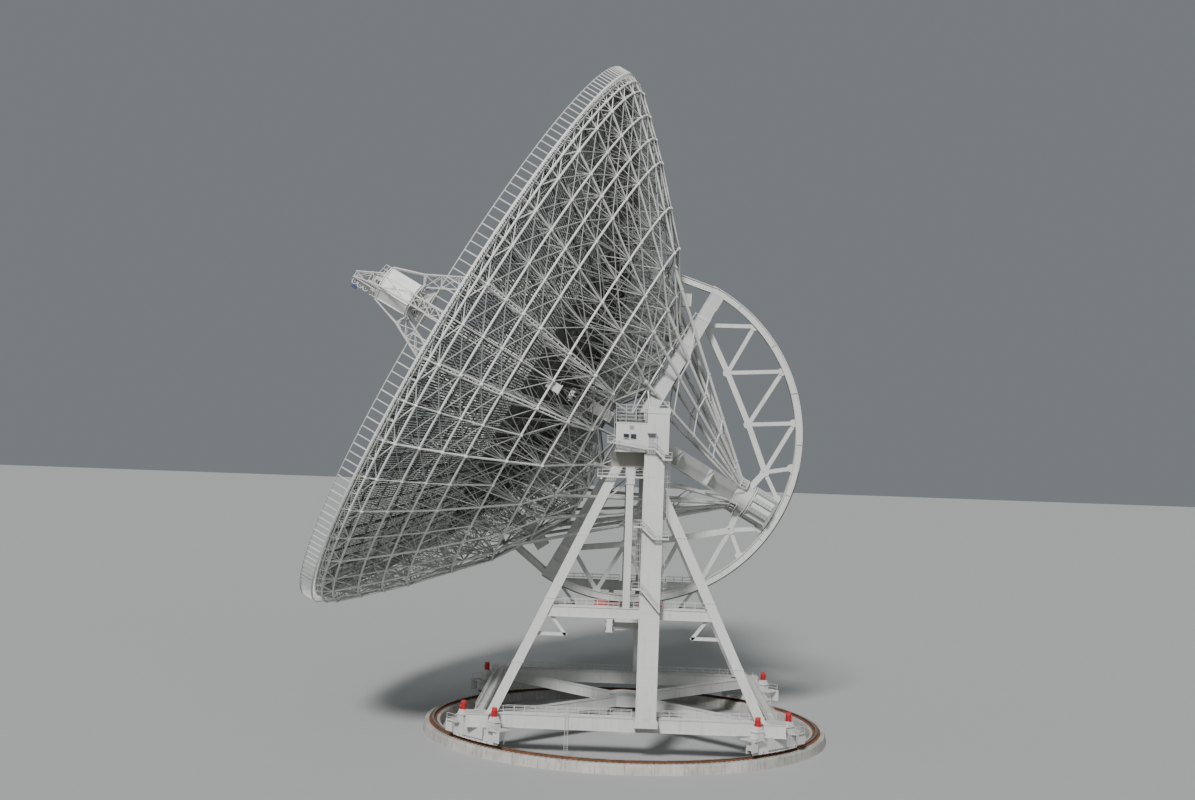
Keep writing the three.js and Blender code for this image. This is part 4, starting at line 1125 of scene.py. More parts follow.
def clear(*points):
    """Whether every point is well clear of the focus legs."""
    return not any(in_leg(point, 0.5) for point in points)


def bowl_point(r, degrees, drop=0.0):
    """A point of the reflecting surface, or this far below it."""
    return polar(r, degrees, surface(r) - drop)


def rib_angle(k):
    return RIB_STEP * (k + 0.5)


# Reflector panels: closed sheets in the middle, open slats towards the rim

PANEL_RINGS = [4.6, 8, 12, 16, 20, 24, 28, 31]
SLAT_RINGS = [31, 34, 37, 40, 42.5, 45, 47.5, 49.98]
SLAT_PITCH = 0.42
SLAT_WIDTH = 0.2


def panel_count(r):
    return 24 if r < 12 else 48


def build_panels():
    for q, letter in enumerate(QUADRANTS):
        face = Form()
        back = Form()
        for r0, r1 in zip(PANEL_RINGS, PANEL_RINGS[1:]):
            count = panel_count(r0) // 4
            width = 90 / count
            for k in range(count):
                panel(face, r0, r1, 90 * q + width * k, width, 0.0, 0.07)
                panel(back, r0, r1, 90 * q + width * k, width, 0.08, 0.05)
        face.make(f"reflector_panels_{letter}", "dish", PANEL,
                  replaces=[f"dish_panels_{letter}"])
        # The back sheets take the backing paint: dirt and painted shade on the panels' rear.
        back.make(f"reflector_backs_{letter}", "dish", BACKING)


def panel(form, r0, r1, start, width, drop, thick, seam=0.02):
    """One curved panel, cut finer and left open where a focus leg passes through."""
    near_leg = any(in_leg(bowl_point(r0 + (r1 - r0) * i / 4, start + width * j / 4))
                   for i in range(5) for j in range(5))
    rows = 10 if near_leg else 2
    steps = 10 if near_leg else max(1, round(width / 2.5))
    grid = []
    for i in range(rows + 1):
        r = r0 + seam + (r1 - r0 - 2 * seam) * i / rows
        edge = math.degrees(seam / r)
        grid.append([(r, start + edge + (width - 2 * edge) * j / steps) for j in range(steps + 1)])
    keep = [[True] * steps] * rows
    if near_leg:
        keep = [[cell_is_clear(grid, i, j) for j in range(steps)] for i in range(rows)]
    skin(form, grid, keep, drop, thick)


def cell_is_clear(grid, i, j):
    r = (grid[i][j][0] + grid[i + 1][j][0]) / 2
    a = (grid[i][j][1] + grid[i][j + 1][1]) / 2
    return not in_leg(bowl_point(r, a), 0.1)


def skin(form, grid, keep, drop, thick):
    """A closed sheet over the kept cells of a grid of radius and angle pairs."""
    rows, steps = len(keep), len(keep[0])
    used = {}
    points = []
    faces = []

    def corner(i, j, low):
        key = (i, j, low)
        if key not in used:
            r, a = grid[i][j]
            used[key] = len(points)
            points.append(bowl_point(r, a, drop + low * thick))
        return used[key]

    def kept(i, j):
        return 0 <= i < rows and 0 <= j < steps and keep[i][j]

    for i in range(rows):
        for j in range(steps):
            if not keep[i][j]:
                continue
            ring = [(i, j), (i + 1, j), (i + 1, j + 1), (i, j + 1)]
            faces.append([corner(*c, 0) for c in ring])
            faces.append([corner(*c, 1) for c in reversed(ring)])
            for (a, b), (di, dj) in ((((i, j), (i + 1, j)), (0, -1)), (((i + 1, j), (i + 1, j + 1)), (1, 0)),
                                     (((i + 1, j + 1), (i, j + 1)), (0, 1)), (((i, j + 1), (i, j)), (-1, 0))):
                if not kept(i + di, j + dj):
                    faces.append([corner(*b, 0), corner(*a, 0), corner(*a, 1), corner(*b, 1)])
    form.add(points, faces)


def build_slats():
    """The outer panels: radial slats in bordered frames, with daylight between them."""
    for q, letter in enumerate(QUADRANTS):
        slats = Form()
        backs = Form()
        frames = Form()
        for r0, r1 in zip(SLAT_RINGS, SLAT_RINGS[1:]):
            count = round((r0 + r1) * math.pi / 4 / SLAT_PITCH)
            for k in range(count):
                a = 90 * q + 90 * (k + 0.5) / count
                if in_leg(bowl_point(r0, a)) or in_leg(bowl_point(r1, a)):
                    continue
                # Each slat has a dark copy just under it, in the backing paint: painted shade on its rear
                # side.
                for form, drop in ((slats, 0.03), (backs, 0.08)):
                    form.beam(bowl_point(r0, a, drop), bowl_point(r1, a, drop), SLAT_WIDTH, 0.04)
            panel_border(frames, r0, r1, 90 * q)
        slats.make(f"reflector_slats_{letter}", "dish", SLAT_FACE)
        backs.make(f"slat_backs_{letter}", "dish", BACKING)
        frames.make(f"slat_frames_{letter}", "dish", SLATS)


def panel_border(form, r0, r1, start):
    """The edge bars and the two inner wires of one ring of slatted panels."""
    for k in range(24):
        a = start + FINE_STEP * k
        form.beam(bowl_point(r0, a, 0.16), bowl_point(r1, a, 0.16), 0.1, 0.2)
        for share, width, height in ((0, 0.1, 0.2), (1, 0.05, 0.07), (2, 0.05, 0.07)):
            r = ((3 - share) * r0 + share * r1) / 3
            drop = 0.08 + height / 2
            form.beam(bowl_point(r, a, drop), bowl_point(r, a + FINE_STEP, drop), width, height)


def build_panel_backing():
    """Border bars behind the closed panels."""
    for q, letter in enumerate(QUADRANTS):
        form = Form()
        for r0, r1 in zip(PANEL_RINGS, PANEL_RINGS[1:]):
            for k in range(24):
                a = 90 * q + FINE_STEP * k
                if r0 > 11 or k % 4 == 0:
                    backing_bar(form, (r0, a), (r1, a), 0.08, 0.14 if k % 2 else 0.3)
                backing_bar(form, (r1, a), (r1, a + FINE_STEP), 0.09, 0.26)
        form.make(f"panel_backing_{letter}", "dish", BACKING)


def backing_bar(form, start, end, width, depth):
    """A bar between two radius and angle pairs, left out where a focus leg passes."""
    drop = 0.13 + depth / 2
    ends = bowl_point(*start, drop), bowl_point(*end, drop)
    if clear(*ends):
        form.beam(*ends, width, depth)


# Back structure: trussed ribs, rings, crossing braces and joint balls

def build_back_structure():
    for q, letter in enumerate(QUADRANTS):
        ribs = Form()
        rings = Form()
        fine = Form()
        layer = Form()
        for i in range(6):
            k = 6 * q + i
            trussed_rib(ribs, fine, rib_angle(k))
            rear_bay(rings, fine, k)
            star_bars(fine, k)
            front_layer(layer, k)
        ribs.make(f"lattice_ribs_{letter}", "dish", LATTICE, 62,
                  replaces=[f"back_structure_{letter}"])
        rings.make(f"lattice_rings_{letter}", "dish", LATTICE, 62)
        # The braces and the front layer take darker copies of the lattice paint: painted shade.
        fine.make(f"lattice_braces_{letter}", "dish", BRACES, 62)
        layer.make(f"lattice_front_layer_{letter}", "dish", LAYER, 62)


def trussed_rib(ribs, fine, angle):
    """One upright radial truss: strong rear chord, front chord, posts and diagonals."""
    lower = [rear_node(r, angle) for r in REAR_RADII]
    upper = [front_node(r, angle) for r in FRONT_RADII]
    chord(ribs, lower, angle)
    for a, b in zip(upper, upper[1:]):
        ribs.tube(a, b, 0.11, 6)
    for i, low in enumerate(lower):
        ribs.tube(low, upper[i], 0.085, 6)
        ribs.tube(low, upper[i + 1], 0.085, 6)
    for low in lower:
        ribs.knob(low, 0.36)
    for high in upper:
        fine.knob(high, 0.2)
    for i, r in enumerate(REAR_RADII):
        if front(r) - rear(r, angle) < 5:
            continue
        waist = middle_node(r, angle)
        fine.tube(lower[i], front_node(r, angle), 0.08, 6)
        fine.tube(waist, upper[i], 0.055, 5)
        fine.tube(waist, upper[i + 1], 0.055, 5)
        fine.knob(waist, 0.16)


def chord(ribs, lower, angle):
    """The rear chord: one tube, or over a bearing a pair of tubes tied side by side."""
    aside = polar(1, angle + 90, 0) * 0.24
    offsets = (-aside, aside) if over_bearing(angle) else (Vector((0, 0, 0)),)
    for a, b in zip(lower, lower[1:]):
        for offset in offsets:
            ribs.tube(a + offset, b + offset, 0.17 if len(offsets) == 1 else 0.13, 8)
        if len(offsets) > 1:
            for i in range(1, 5):
                spot = between(a, b, i / 5)
                ribs.beam(spot - aside, spot + aside, 0.12, 0.08)


def over_house(a, b):
    """Whether a bar would reach into the room that a bearing house needs when the dish tips up."""
    spots = [between(a, b, i / 8) for i in range(9)]
    return any(abs(p.x) > 19.6 and abs(p.y) < 7 and p.z < 5.0 for p in spots)


def rear_bay(rings, fine, k):
    """The rear layer between rib k and the next one: rings and crossed bars."""
    a0, a1 = rib_angle(k), rib_angle(k + 1)
    middle = (a0 + a1) / 2
    for r in REAR_RADII:
        outer = r >= OUTER_ZONE
        stops = (a0, middle, a1) if outer else (a0, a1)
        for b0, b1 in zip(stops, stops[1:]):
            rings.tube(rear_node(r, b0), rear_node(r, b1), 0.17 if r > 30 else 0.15, 8)
        if outer:
            rings.knob(rear_node(r, middle), 0.3)
    for r0, r1 in zip(REAR_RADII, REAR_RADII[1:]):
        if r0 >= OUTER_ZONE:
            rings.tube(rear_node(r0, middle), rear_node(r1, middle), 0.11, 6)
            for a in (a0, a1):
                fine.tube(rear_node(r0, a), rear_node(r1, middle), 0.08, 6)
                fine.tube(rear_node(r0, middle), rear_node(r1, a), 0.08, 6)
        elif r1 >= OUTER_ZONE:
            for a in (a0, a1):
                fine.tube(rear_node(r0, a), rear_node(r1, middle), 0.1, 6)
        else:
            for a, b in ((a0, a1), (a1, a0)):
                ends = rear_node(r0, a), rear_node(r1, b)
                if not over_house(*ends):
                    fine.tube(*ends, 0.1, 6)
    for r in REAR_RADII[2:5]:
        if front(r) - rear(r, middle) > 5:
            fine.tube(middle_node(r, a0), middle_node(r, a1), 0.065, 6)


def star_bars(fine, k):
    """Bars that fan out from each rear joint to the front layer on both sides."""
    a0, a1 = rib_angle(k), rib_angle(k + 1)
    middle = (a0 + a1) / 2
    for i, r in enumerate(REAR_RADII):
        outer = r >= OUTER_ZONE
        reach = FINE_STEP if outer else 2 * FINE_STEP
        pairs = [(a0, a0 + reach), (a1, a1 - reach)]
        if outer:
            pairs += [(middle, middle - reach), (middle, middle), (middle, middle + reach)]
        for a, b in pairs:
            for target in FRONT_RADII[i:i + 2]:
                spot = front_node(target, b)
                if clear(spot):
                    fine.tube(rear_node(r, a), spot, 0.062, 6)
        if 1 < i < 5:
            for a, b in ((a0, a0 + FINE_STEP), (a1, a1 - FINE_STEP)):
                spot = front_node(r, b)
                if clear(spot):
                    fine.tube(middle_node(r, a), spot, 0.05, 5)


def front_layer(layer, k):
    """Rings and radial bars just behind the panels, with a row of small adjusters on each ring."""
    a0 = rib_angle(k)
    for r in FRONT_RADII[1:]:
        for j in range(4):
            ends = front_node(r, a0 + FINE_STEP * j), front_node(r, a0 + FINE_STEP * (j + 1))
            if not clear(*ends):
                continue
            layer.tube(*ends, 0.06, 6)
            if r > 27:
                for share in (0.0, 0.5):
                    spot = between(*ends, share)
                    layer.beam(spot - Vector((0, 0, 0.18)), spot + Vector((0, 0, 0.4)), 0.16, 0.16, (1, 0, 0))
    for j in (1, 2, 3):
        start, radius = (3, 0.08) if j == 2 else (4, 0.05)
        line = [front_node(r, a0 + FINE_STEP * j) for r in FRONT_RADII[start:]]
        for a, b in zip(line, line[1:]):
            if clear(a, b):
                layer.tube(a, b, radius, 6)


def build_lattice_boxes():
    """Small plant boxes carried on the ribs behind the bowl."""
    form = Form()
    for r, degrees, depth in ((34.5, -1.0, 12.7), (34.5, 179.0, 12.7), (27.0, 60.0, 8.6), (27.0, 240.0, 8.6)):
        out = polar(1, degrees, 0)
        at = polar(r, degrees, depth)
        for low, high, width, height in ((0, 1.9, 1.3, 1.2), (1.85, 2.0, 1.45, 1.35), (-0.15, 0, 1.6, 1.5)):
            form.beam(at + Vector((0, 0, low)), at + Vector((0, 0, high)), width, height, out)
    form.make("lattice_plant_boxes", "dish", WHITE)


# Rim: chords, walkway and fence

RIM_DECK = 30.34
FENCE_RADIUS = 51.09
FENCE_TOP = 32.66


def rim_upper(degrees):
    return polar(50.0, degrees, 30.1)


def rim_lower(degrees):
    return polar(50.35, degrees, 29.1)


def build_rim_chords():
    chords = Form()
    chords.hoop(50.0, 30.1, 0.13, 192)
    chords.hoop(50.35, 29.1, 0.17, 192, 8)
    for k in range(96):
        a = FINE_STEP * k
        low = rim_lower(a)
        chords.tube(low, rim_upper(a), 0.07, 6)
        chords.tube(low, rim_upper(a + FINE_STEP), 0.06, 6)
        chords.tube(low, polar(50.95, a, RIM_DECK), 0.06, 6)
        if k % 2 == 0:
            node = rear_node(REAR_RADII[-1], a)
            chords.tube(node, low, 0.12, 6)
            chords.tube(node, rim_lower(a + FINE_STEP), 0.08, 6)
            chords.tube(node, rim_lower(a - FINE_STEP), 0.08, 6)
            chords.knob(low, 0.28)
    chords.make("rim_chords", "dish", LATTICE, 50)


def build_rim_walkway():
    deck = Form()
    for r in (50.08, 51.13):
        z0, z1 = RIM_DECK, RIM_DECK + 0.28
        deck.ring([(r - 0.05, z0), (r + 0.05, z0), (r + 0.05, z1), (r - 0.05, z1)], 144)
    for k in range(720):
        a = 0.5 * k
        deck.beam(polar(50.12, a, RIM_DECK + 0.2), polar(51.1, a, RIM_DECK + 0.2), 0.2, 0.04)
    deck.make("rim_walkway_deck", "dish", LATTICE, replaces=["rim_walkway"])

    fence = Form()
    foot = RIM_DECK + 0.26
    for k in range(216):
        a = 360 * k / 216
        size = 0.14 if k % 3 else 0.18
        fence.beam(polar(FENCE_RADIUS, a, foot), polar(FENCE_RADIUS, a, FENCE_TOP), size, size)
    fence.hoop(FENCE_RADIUS, FENCE_TOP, 0.08, 144)
    fence.make("rim_fence", "dish", WHITE)


# Focus legs

LEG_NAMES = ("near", "top", "far", "bottom")


def build_focus_leg(leg):
    """Four tubular chords braced with X bars on every face, on a flanged box foot."""
    foot, head, along, out = leg_line(leg)
    length = (head - foot).length
    start = 6.1

    def spot(t, w, aside):
        width = 1.14 - 0.04 * t / length
        p = foot + along * t + out * (w * width)
        return leg_spot(leg, p.x, p.y, aside)

    truss = Form()
    bays = 14
    ends = [start + (length - start) * i / bays for i in range(bays + 1)]
    corners = [(-1, -LEG_HALF), (1, -LEG_HALF), (1, LEG_HALF), (-1, LEG_HALF)]
    for w, s in corners:
        truss.tube(spot(start - 0.3, w, s), spot(length, w, s), 0.17, 10)
    for t, n in zip(ends, ends[1:]):
        for (w0, s0), (w1, s1) in cyclic(corners):
            truss.tube(spot(t, w0, s0), spot(t, w1, s1), 0.09, 6)
            truss.tube(spot(t, w0, s0), spot(n, w1, s1), 0.08, 6)
            truss.tube(spot(t, w1, s1), spot(n, w0, s0), 0.08, 6)
        for w, s in corners:
            truss.knob(spot(t, w, s), 0.23)
    truss.make(f"focus_leg_truss_{LEG_NAMES[leg]}", "dish", WHITE, 50,
               replaces=[f"focus_leg_{LEG_NAMES[leg]}"])

    box = Form()
    up = leg_spot(leg, out.x, out.y, 0)
    low = 2.0 if leg % 2 == 0 else 1.75
    a, b = spot(low, 0, 0), spot(start, 0, 0)
    box.beam(a, b, 1.6, 2.1, up)
    for way in (-1, 1):
        lift = up * (1.06 * way)
        box.beam(a + lift, b + lift, 1.76, 0.07, up)
    bands(box, a, b, 1.6, 2.1, 1.35, up, 0.06, 0.09)
    box.beam(spot(start - 0.05, 0, 0), spot(start + 0.1, 0, 0), 1.85, 2.3, up)
    box.make(f"focus_leg_foot_{LEG_NAMES[leg]}", "dish", WHITE)


# Focus: cabin, apex frame, receivers and secondary reflector

CABIN_LOW = 43.6
CABIN_HIGH = 49.6
CABIN_HALF = 2.9
CABIN_FLAT = 1.2


def octagon(half, flat, z, inset=0.0):
    h, f = half - inset, flat - inset * 0.4
    corners = ((h, -f), (h, f), (f, h), (-f, h), (-h, f), (-h, -f), (-f, -h), (f, -h))
    return [Vector((x, y, z)) for x, y in corners]


def build_cabin():
    body = Form()
    levels = [(CABIN_LOW + 0.02, 0.3), (43.8, 0.06), (49.4, 0.06), (CABIN_HIGH - 0.02, 0.3)]
    body.loft([octagon(CABIN_HALF, CABIN_FLAT, z, inset) for z, inset in levels])
    body.make("focus_cabin_shell", "dish", BRIGHT, replaces=["focus_cabin"])
    trim = Form()
    for z in (43.85, 49.3):
        for a, b in cyclic(octagon(CABIN_HALF, CABIN_FLAT, z)):
            trim.beam(a, b, 0.08, 0.1)
    for p in octagon(CABIN_HALF, CABIN_FLAT, 0, 0.03):
        trim.beam(p + Vector((0, 0, 43.8)), p + Vector((0, 0, 49.4)), 0.12, 0.12, (p.x, p.y, 0))
    for side in (1, -1):
        cabin_door(trim, side)
    rim = octagon(CABIN_HALF, CABIN_FLAT, CABIN_HIGH)
    railing(trim, rim + rim[:1], spacing=1.1)
    under = octagon(CABIN_HALF + 0.5, CABIN_FLAT + 0.2, 43.35)
    for a, b in cyclic(under):
        trim.beam(a, b, 0.25, 0.12)
    for a, b in zip(under, octagon(1.6, 0.6, 43.35)):
        trim.beam(a, b, 0.12, 0.12)
    trim.make("focus_cabin_trim", "dish", BRIGHT)


def cabin_door(trim, side):
    """A door frame with a louvred vent over it."""
    x = side * 2.88
    path = [(x, -0.55, 44.4), (x, -0.55, 46.4), (x, 0.55, 46.4), (x, 0.55, 44.4)]
    for a, b in ((path[0], path[1]), (path[3], path[2]), (path[1], path[2])):
        trim.beam(a, b, 0.07, 0.06, (side, 0, 0))
    for k in range(5):
        z = 47.0 + 0.16 * k
        trim.beam((x, -0.5, z), (x, 0.5, z), 0.05, 0.08, (side, 0, 0.5))


def build_apex():
    """The tapered frame over the cabin, and the bars that tie the cabin to the heads of the legs."""
    bars = Form()
    low = [Vector((x, y, CABIN_HIGH)) for x, y in ((1.9, 1.7), (-1.9, 1.7), (-1.9, -1.8), (1.9, -1.8))]
    tip = [Vector((x, y, 54.5)) for x, y in ((0.9, -0.6), (-0.9, -0.6), (-0.9, -1.7), (0.9, -1.7))]
    waist = [between(a, b, 0.48) for a, b in zip(low, tip)]
    for ring, radius in ((low, 0.1), (waist, 0.09), (tip, 0.1)):
        for a, b in cyclic(ring):
            bars.tube(a, b, radius, 8)
    for first, second in ((low, waist), (waist, tip)):
        for (a, c), (b, d) in cyclic(list(zip(first, second))):
            bars.tube(a, c, 0.12, 8)
            bars.tube(a, d, 0.06, 6)
            bars.tube(b, c, 0.06, 6)
            bars.knob(c, 0.2)
    for leg in range(4):
        for aside in (-LEG_HALF, LEG_HALF):
            apex_joint(bars, leg, aside)
    for side in (-1, 1):
        bars.tube((side * 3.1, -LEG_HALF, 49.5), (side * 0.9, -1.6, 54.5), 0.13, 8)
        for z0, z1 in ((44.5, 49.2), (49.2, 44.5)):
            bars.tube((side * 3.0, -0.8, z0), (side * 3.0, 1.1, z1), 0.03, 5)
    bars.make("apex_frame_bars", "dish", WHITE, 50, replaces=["apex_frame"])


def apex_joint(bars, leg, aside):
    """Bars from the kink at a leg's head to the cabin's lower and upper edge."""
    _, head, _, out = leg_line(leg)

    def spot(r, z):
        return leg_spot(leg, r, z, aside)

    kink = spot(*(head + out * 1.1))
    below = spot(*(head - out * 1.1))
    bars.tube(below, kink, 0.13, 8)
    bars.tube(below, spot(2.85, 43.9), 0.12, 8)
    if kink.y < 0.5 or leg % 2:
        bars.tube(kink, spot(3.1, 49.5), 0.16, 8)
        bars.tube(spot(3.1, 49.5), spot(2.6, CABIN_HIGH), 0.12, 8)
    else:
        bars.tube(kink, spot(2.95, 44.4), 0.12, 8)


def build_receivers():
    """Hooped feeds, upright receivers and a case on the apex frame, and the blue boxes at its tip."""
    gear = Form()
    for y, z in ((-2.3, 54.0), (-2.4, 52.9), (-2.4, 51.8)):
        turns = [math.radians(30 + 300 * k / 10) for k in range(11)]
        gear.bent([(0.5, y + 0.46 * math.cos(a), z + 0.46 * math.sin(a)) for a in turns], 0.12, 8)
        gear.tube((0.1, y, z), (0.6, y, z), 0.1, 10)
        gear.beam((0.5, y + 0.45, z), (0.5, -1.6, z), 0.12, 0.12)
    gear.box(-0.6, 0.3, -2.5, -1.9, 50.4, 51.2)
    for x, y, high in ((0.7, 0.2, 1.6), (-0.7, -0.4, 2.0), (0.2, -1.1, 2.4)):
        levels = ((0, 0.42), (0.6, 0.42), (0.65, 0.52), (0.75, 0.52), (0.78, 0.34), (1, 0.3))
        gear.rod((x, y, 49.7), (x, y, 60), [(high * share, radius) for share, radius in levels], 20)
    gear.box(-1.5, -0.4, 0.5, 1.4, 49.7, 50.6)
    gear.make("prime_receivers", "dish", WHITE, 40)
    blue = Form()
    blue.box(-0.1, 0.8, -3.35, -2.8, 53.3, 54.1)
    for z in (53.4, 53.6, 53.8, 54.0):
        blue.box(-0.12, 0.82, -3.38, -2.8, z - 0.02, z + 0.02)
    blue.beam((0.5, -2.9, 53.7), (0.5, -1.7, 53.9), 0.12, 0.12)
    blue.make("receiver_boxes", "dish", BLUE, 35)


MIRROR_EDGE = 40.92
MIRROR_DEPTH = 1.3
MIRROR_RADIUS = 3.25


def mirror(r):
    """The hollow face of the secondary reflector."""
    return MIRROR_EDGE + MIRROR_DEPTH * (1 - (r / MIRROR_RADIUS) ** 2)


def build_secondary():
    dish = Form()
    radii = [0.03, 0.6, 1.2, 1.8, 2.4, 2.9, 3.24]
    levels = [(r, mirror(r)) for r in radii] + [(r, mirror(r) + 0.14) for r in reversed(radii)]
    dish.ring(levels, 48)
    dish.ring([(3.18, 40.9), (MIRROR_RADIUS, 40.9), (MIRROR_RADIUS, 41.16), (3.18, 41.16)], 48)
    dish.make("secondary_dish", "dish", PANEL, 40, replaces=["secondary_reflector"])
    ribs = Form()
    for k in range(16):
        outline = [(r, mirror(r) + 0.1) for r in (0.5, 1.8, 3.15)] + [(3.15, 41.3), (2.3, 42.2), (0.5, 42.75)]
        ribs.slab(outline, 0.04, (0, 0, 0), polar(1, 22.5 * k, 0), (0, 0, 1))
    for r, z in ((1.2, 42.6), (2.2, 42.22), (3.1, 41.32)):
        ribs.hoop(r, z, 0.07, 36)
    for i in range(6):
        foot = polar(1.9, 60 * i, 43.6)
        for way in (-30, 30):
            ribs.tube(foot, polar(2.3, 60 * i + way, 42.2), 0.09, 8)
    ribs.rod((0, 0, 42.4), (0, 0, 50), [(0, 0.8), (0.5, 0.8), (0.55, 1.0), (1.2, 1.0)], 24)
    ribs.box(-0.9, 0.9, -1.9, -0.9, 42.6, 43.6)
    ribs.make("secondary_supports", "dish", WHITE, 40)


def build_vertex():
    body = Form()
    body.rod((0, 0, 6.62), (0, 0, 20), [(0, 3.2), (0.1, 3.33), (6.9, 3.33), (7.1, 3.1), (7.18, 1.2)], 48)
    body.make("vertex_cabin_shell", "dish", WHITE, 30, replaces=["vertex_cabin"])
    trim = Form()
    for z in (9.6, 11.2, 12.8, 13.5):
        trim.ring([(3.28, z - 0.06), (3.4, z - 0.06), (3.4, z + 0.06), (3.28, z + 0.06)], 48)
    for k in range(12):
        trim.beam(polar(3.36, 30 * k, 10.1), polar(3.36, 30 * k, 13.5), 0.05, 0.05)
    for k in range(8):
        foot, over = polar(1.9, 45 * k, 13.6), polar(1.9, 45 * k, 20)
        trim.rod(foot, over, [(0, 0.3), (0.5, 0.3), (0.6, 0.38), (0.7, 0.38)], 16)
    trim.rod((0, 0, 13.7), (0, 0, 20), [(0, 0.9), (0.5, 0.9), (0.65, 0.7), (0.7, 0.7)], 24)
    trim.ring([(3.5, 9.95), (4.55, 9.95), (4.55, 10.02), (3.5, 10.02)], 48)
    trim.make("vertex_cabin_trim", "dish", WHITE, 40)


# Elevation wheel, rack, arms, hub, counterweight and the cone of tubes

CHORD = [(22.0, -1.0), (16.9, -8.3), (11.2, -15.8), (5.7, -22.3), (1.6, -21.4)]
RIM_NODES = [(26.0, -8.2), (21.9, -16.2), (15.4, -22.4), (8.6, -25.9), (2.9, -26.4)]
WEBS = [(0, 0), (1, 0), (1, 1), (2, 1), (2, 2), (3, 2), (3, 3), (3, 4)]


def wheel_point(angle, r, x=0.0):
    a = math.radians(angle)
    return Vector((x, r * math.sin(a), -r * math.cos(a)))


def swept(form, r0, r1, half, first, last, steps):
    """A bar of the wheel's curve between two radii and two angles, 2 * half wide."""
    profile = ((r0, -half), (r1, -half), (r1, half), (r0, half))
    form.loft([[wheel_point(first + (last - first) * i / steps, r, x) for r, x in profile]
               for i in range(steps + 1)])


def build_wheel_rim(tag, way):
    """One half of the box ring with its stiffeners, its straight end and its corner plates."""
    rim = Form()
    inner, outer = WHEEL_INNER + 0.12, WHEEL_OUTER - 0.12
    for r0, r1, half in ((inner, outer, 0.66), (outer, WHEEL_OUTER, 0.85), (WHEEL_INNER, inner, 0.85)):
        swept(rim, r0, r1, half, way * 0.05, way * 92.4, 44)
    for k in range(5):
        a = way * (9 + 18 * k)
        for x in (-0.67, 0.67):
            low, high = wheel_point(a, WHEEL_INNER + 0.1, x), wheel_point(a, WHEEL_OUTER - 0.1, x)
            rim.beam(low, high, 0.05, 0.3, (1, 0, 0))
    ending = Vector((0, way * 27.82, 0.3))
    meeting = Vector((0, way * 26.62, 6.9))
    rim.beam(ending, meeting, 0.98, 1.3, (1, 0, 0))
    for lift in (-0.5, 0.5):
        shift = Vector((0, way * 0.985, 0.18)) * lift
        rim.beam(ending + shift, meeting + shift, 0.12, 1.68, (1, 0, 0))
    for degrees in (82.5, 97.5):
        for r in (24.4, 30.5):
            rim.tube(meeting, rear_node(r, way * degrees), 0.16, 8)
    rim.beam(meeting, meeting + Vector((0, way * -0.06, 0.3)), 1.2, 1.8, (1, 0, 0))
    for angle, turn in ((92.0, 1), (87.5, -1)):
        fillet(rim, way, angle, turn)
    rim.make(f"wheel_rim_{tag}", "dish", WHITE, 40, replaces=[f"elevation_wheel_{tag}"])


def build_wheel_truss(tag, way):
    """The inner chord and the web bars of one half, with gussets where they meet."""
    truss = Form()

    def node(p):
        return Vector((0, way * p[0], p[1]))

    def girder(a, b, size):
        a, b = node(a), node(b)
        _, over = across(b - a, (1, 0, 0))
        truss.beam(a, b, size * 0.84, size * 0.8, (1, 0, 0))
        for lift in (-0.46, 0.46):
            shift = over * (lift * size)
            truss.beam(a + shift, b + shift, size, size * 0.1, (1, 0, 0))

    for a, b in zip(CHORD, CHORD[1:]):
        girder(a, b, 0.95)
    for c, r in WEBS:
        girder(CHORD[c] if c else (22.0, -1.1), RIM_NODES[r], 0.66)
    for c in CHORD[1:4]:
        gusset(truss, node(c), 0.8)
    for r in RIM_NODES:
        gusset(truss, node(r) * 0.995, 0.7)
    truss.make(f"wheel_truss_{tag}", "dish", WHITE)


def build_rack():
    rack = Form()
    swept(rack, WHEEL_OUTER + 0.01, WHEEL_OUTER + 0.2, 0.3, -92.2, 18.0, 66)
    for i in range(440):
        a = -92.1 + 109.9 * i / 440 + 0.12
        tooth(rack, wheel_point(a, WHEEL_OUTER + 0.18), wheel_point(a, WHEEL_OUTER + 0.3))
    rack.make("rack_teeth", "dish", GEAR, replaces=["elevation_gear_rack"])


def fillet(form, way, angle, turn):
    """A corner plate where the arm block meets the inside of the rim."""
    outline = [(0, 0)]
    for k in range(7):
        a = math.radians(15 * k)
        outline.append((0.9 * (1 - math.sin(a)), -0.9 * (1 - math.cos(a))))
    for x in (-0.6, 0.6):
        centre = wheel_point(way * angle, WHEEL_INNER + 0.1, x)
        out = wheel_point(way * angle, 1.0)
        around = wheel_point(way * (angle + 90), 1.0) * turn
        form.slab(outline, 0.05, centre, around, out)


def tooth(form, low, high):
    side = Vector((1, 0, 0)).cross((high - low).normalized())
    rings = []
    for p, w in ((low, 0.045), (high, 0.022)):
        corners = ((-w, -0.28), (w, -0.28), (w, 0.28), (-w, 0.28))
        rings.append([p + side * i + Vector((j, 0, 0)) for i, j in corners])
    form.loft(rings)


def gusset(form, centre, size):
    """A pair of eight-sided plates on the two faces of a truss joint."""
    outline = [(size * math.cos(math.radians(22.5 + 45 * k)), size * math.sin(math.radians(22.5 + 45 * k)))
               for k in range(8)]
    for x in (-0.42, 0.42):
        form.slab(outline, 0.04, centre + Vector((x, 0, 0)), (0, 1, 0), (0, 0, 1))


ARM_ROOT = (18.2, 1.6)
ARM_END = (0.6, 24.4)
ARM_LIFT = -0.12
ARM_WIDTH = 2.3
ARM_DEPTH = 2.15


def box_arm(form, a, b, width, height, up=(0, 0, 1), spacing=4.4):
    """Edge angles and splice bands laid over a plain box arm."""
    a, b = Vector(a), Vector(b)
    side, over = across(b - a, up)
    for i in (-1, 1):
        for j in (-1, 1):
            corner = side * (i * width / 2) + over * (j * height / 2)
            form.beam(a + corner, b + corner, 0.16, 0.16, up)
    bands(form, a, b, width, height, spacing, up, 0.09, 0.14)


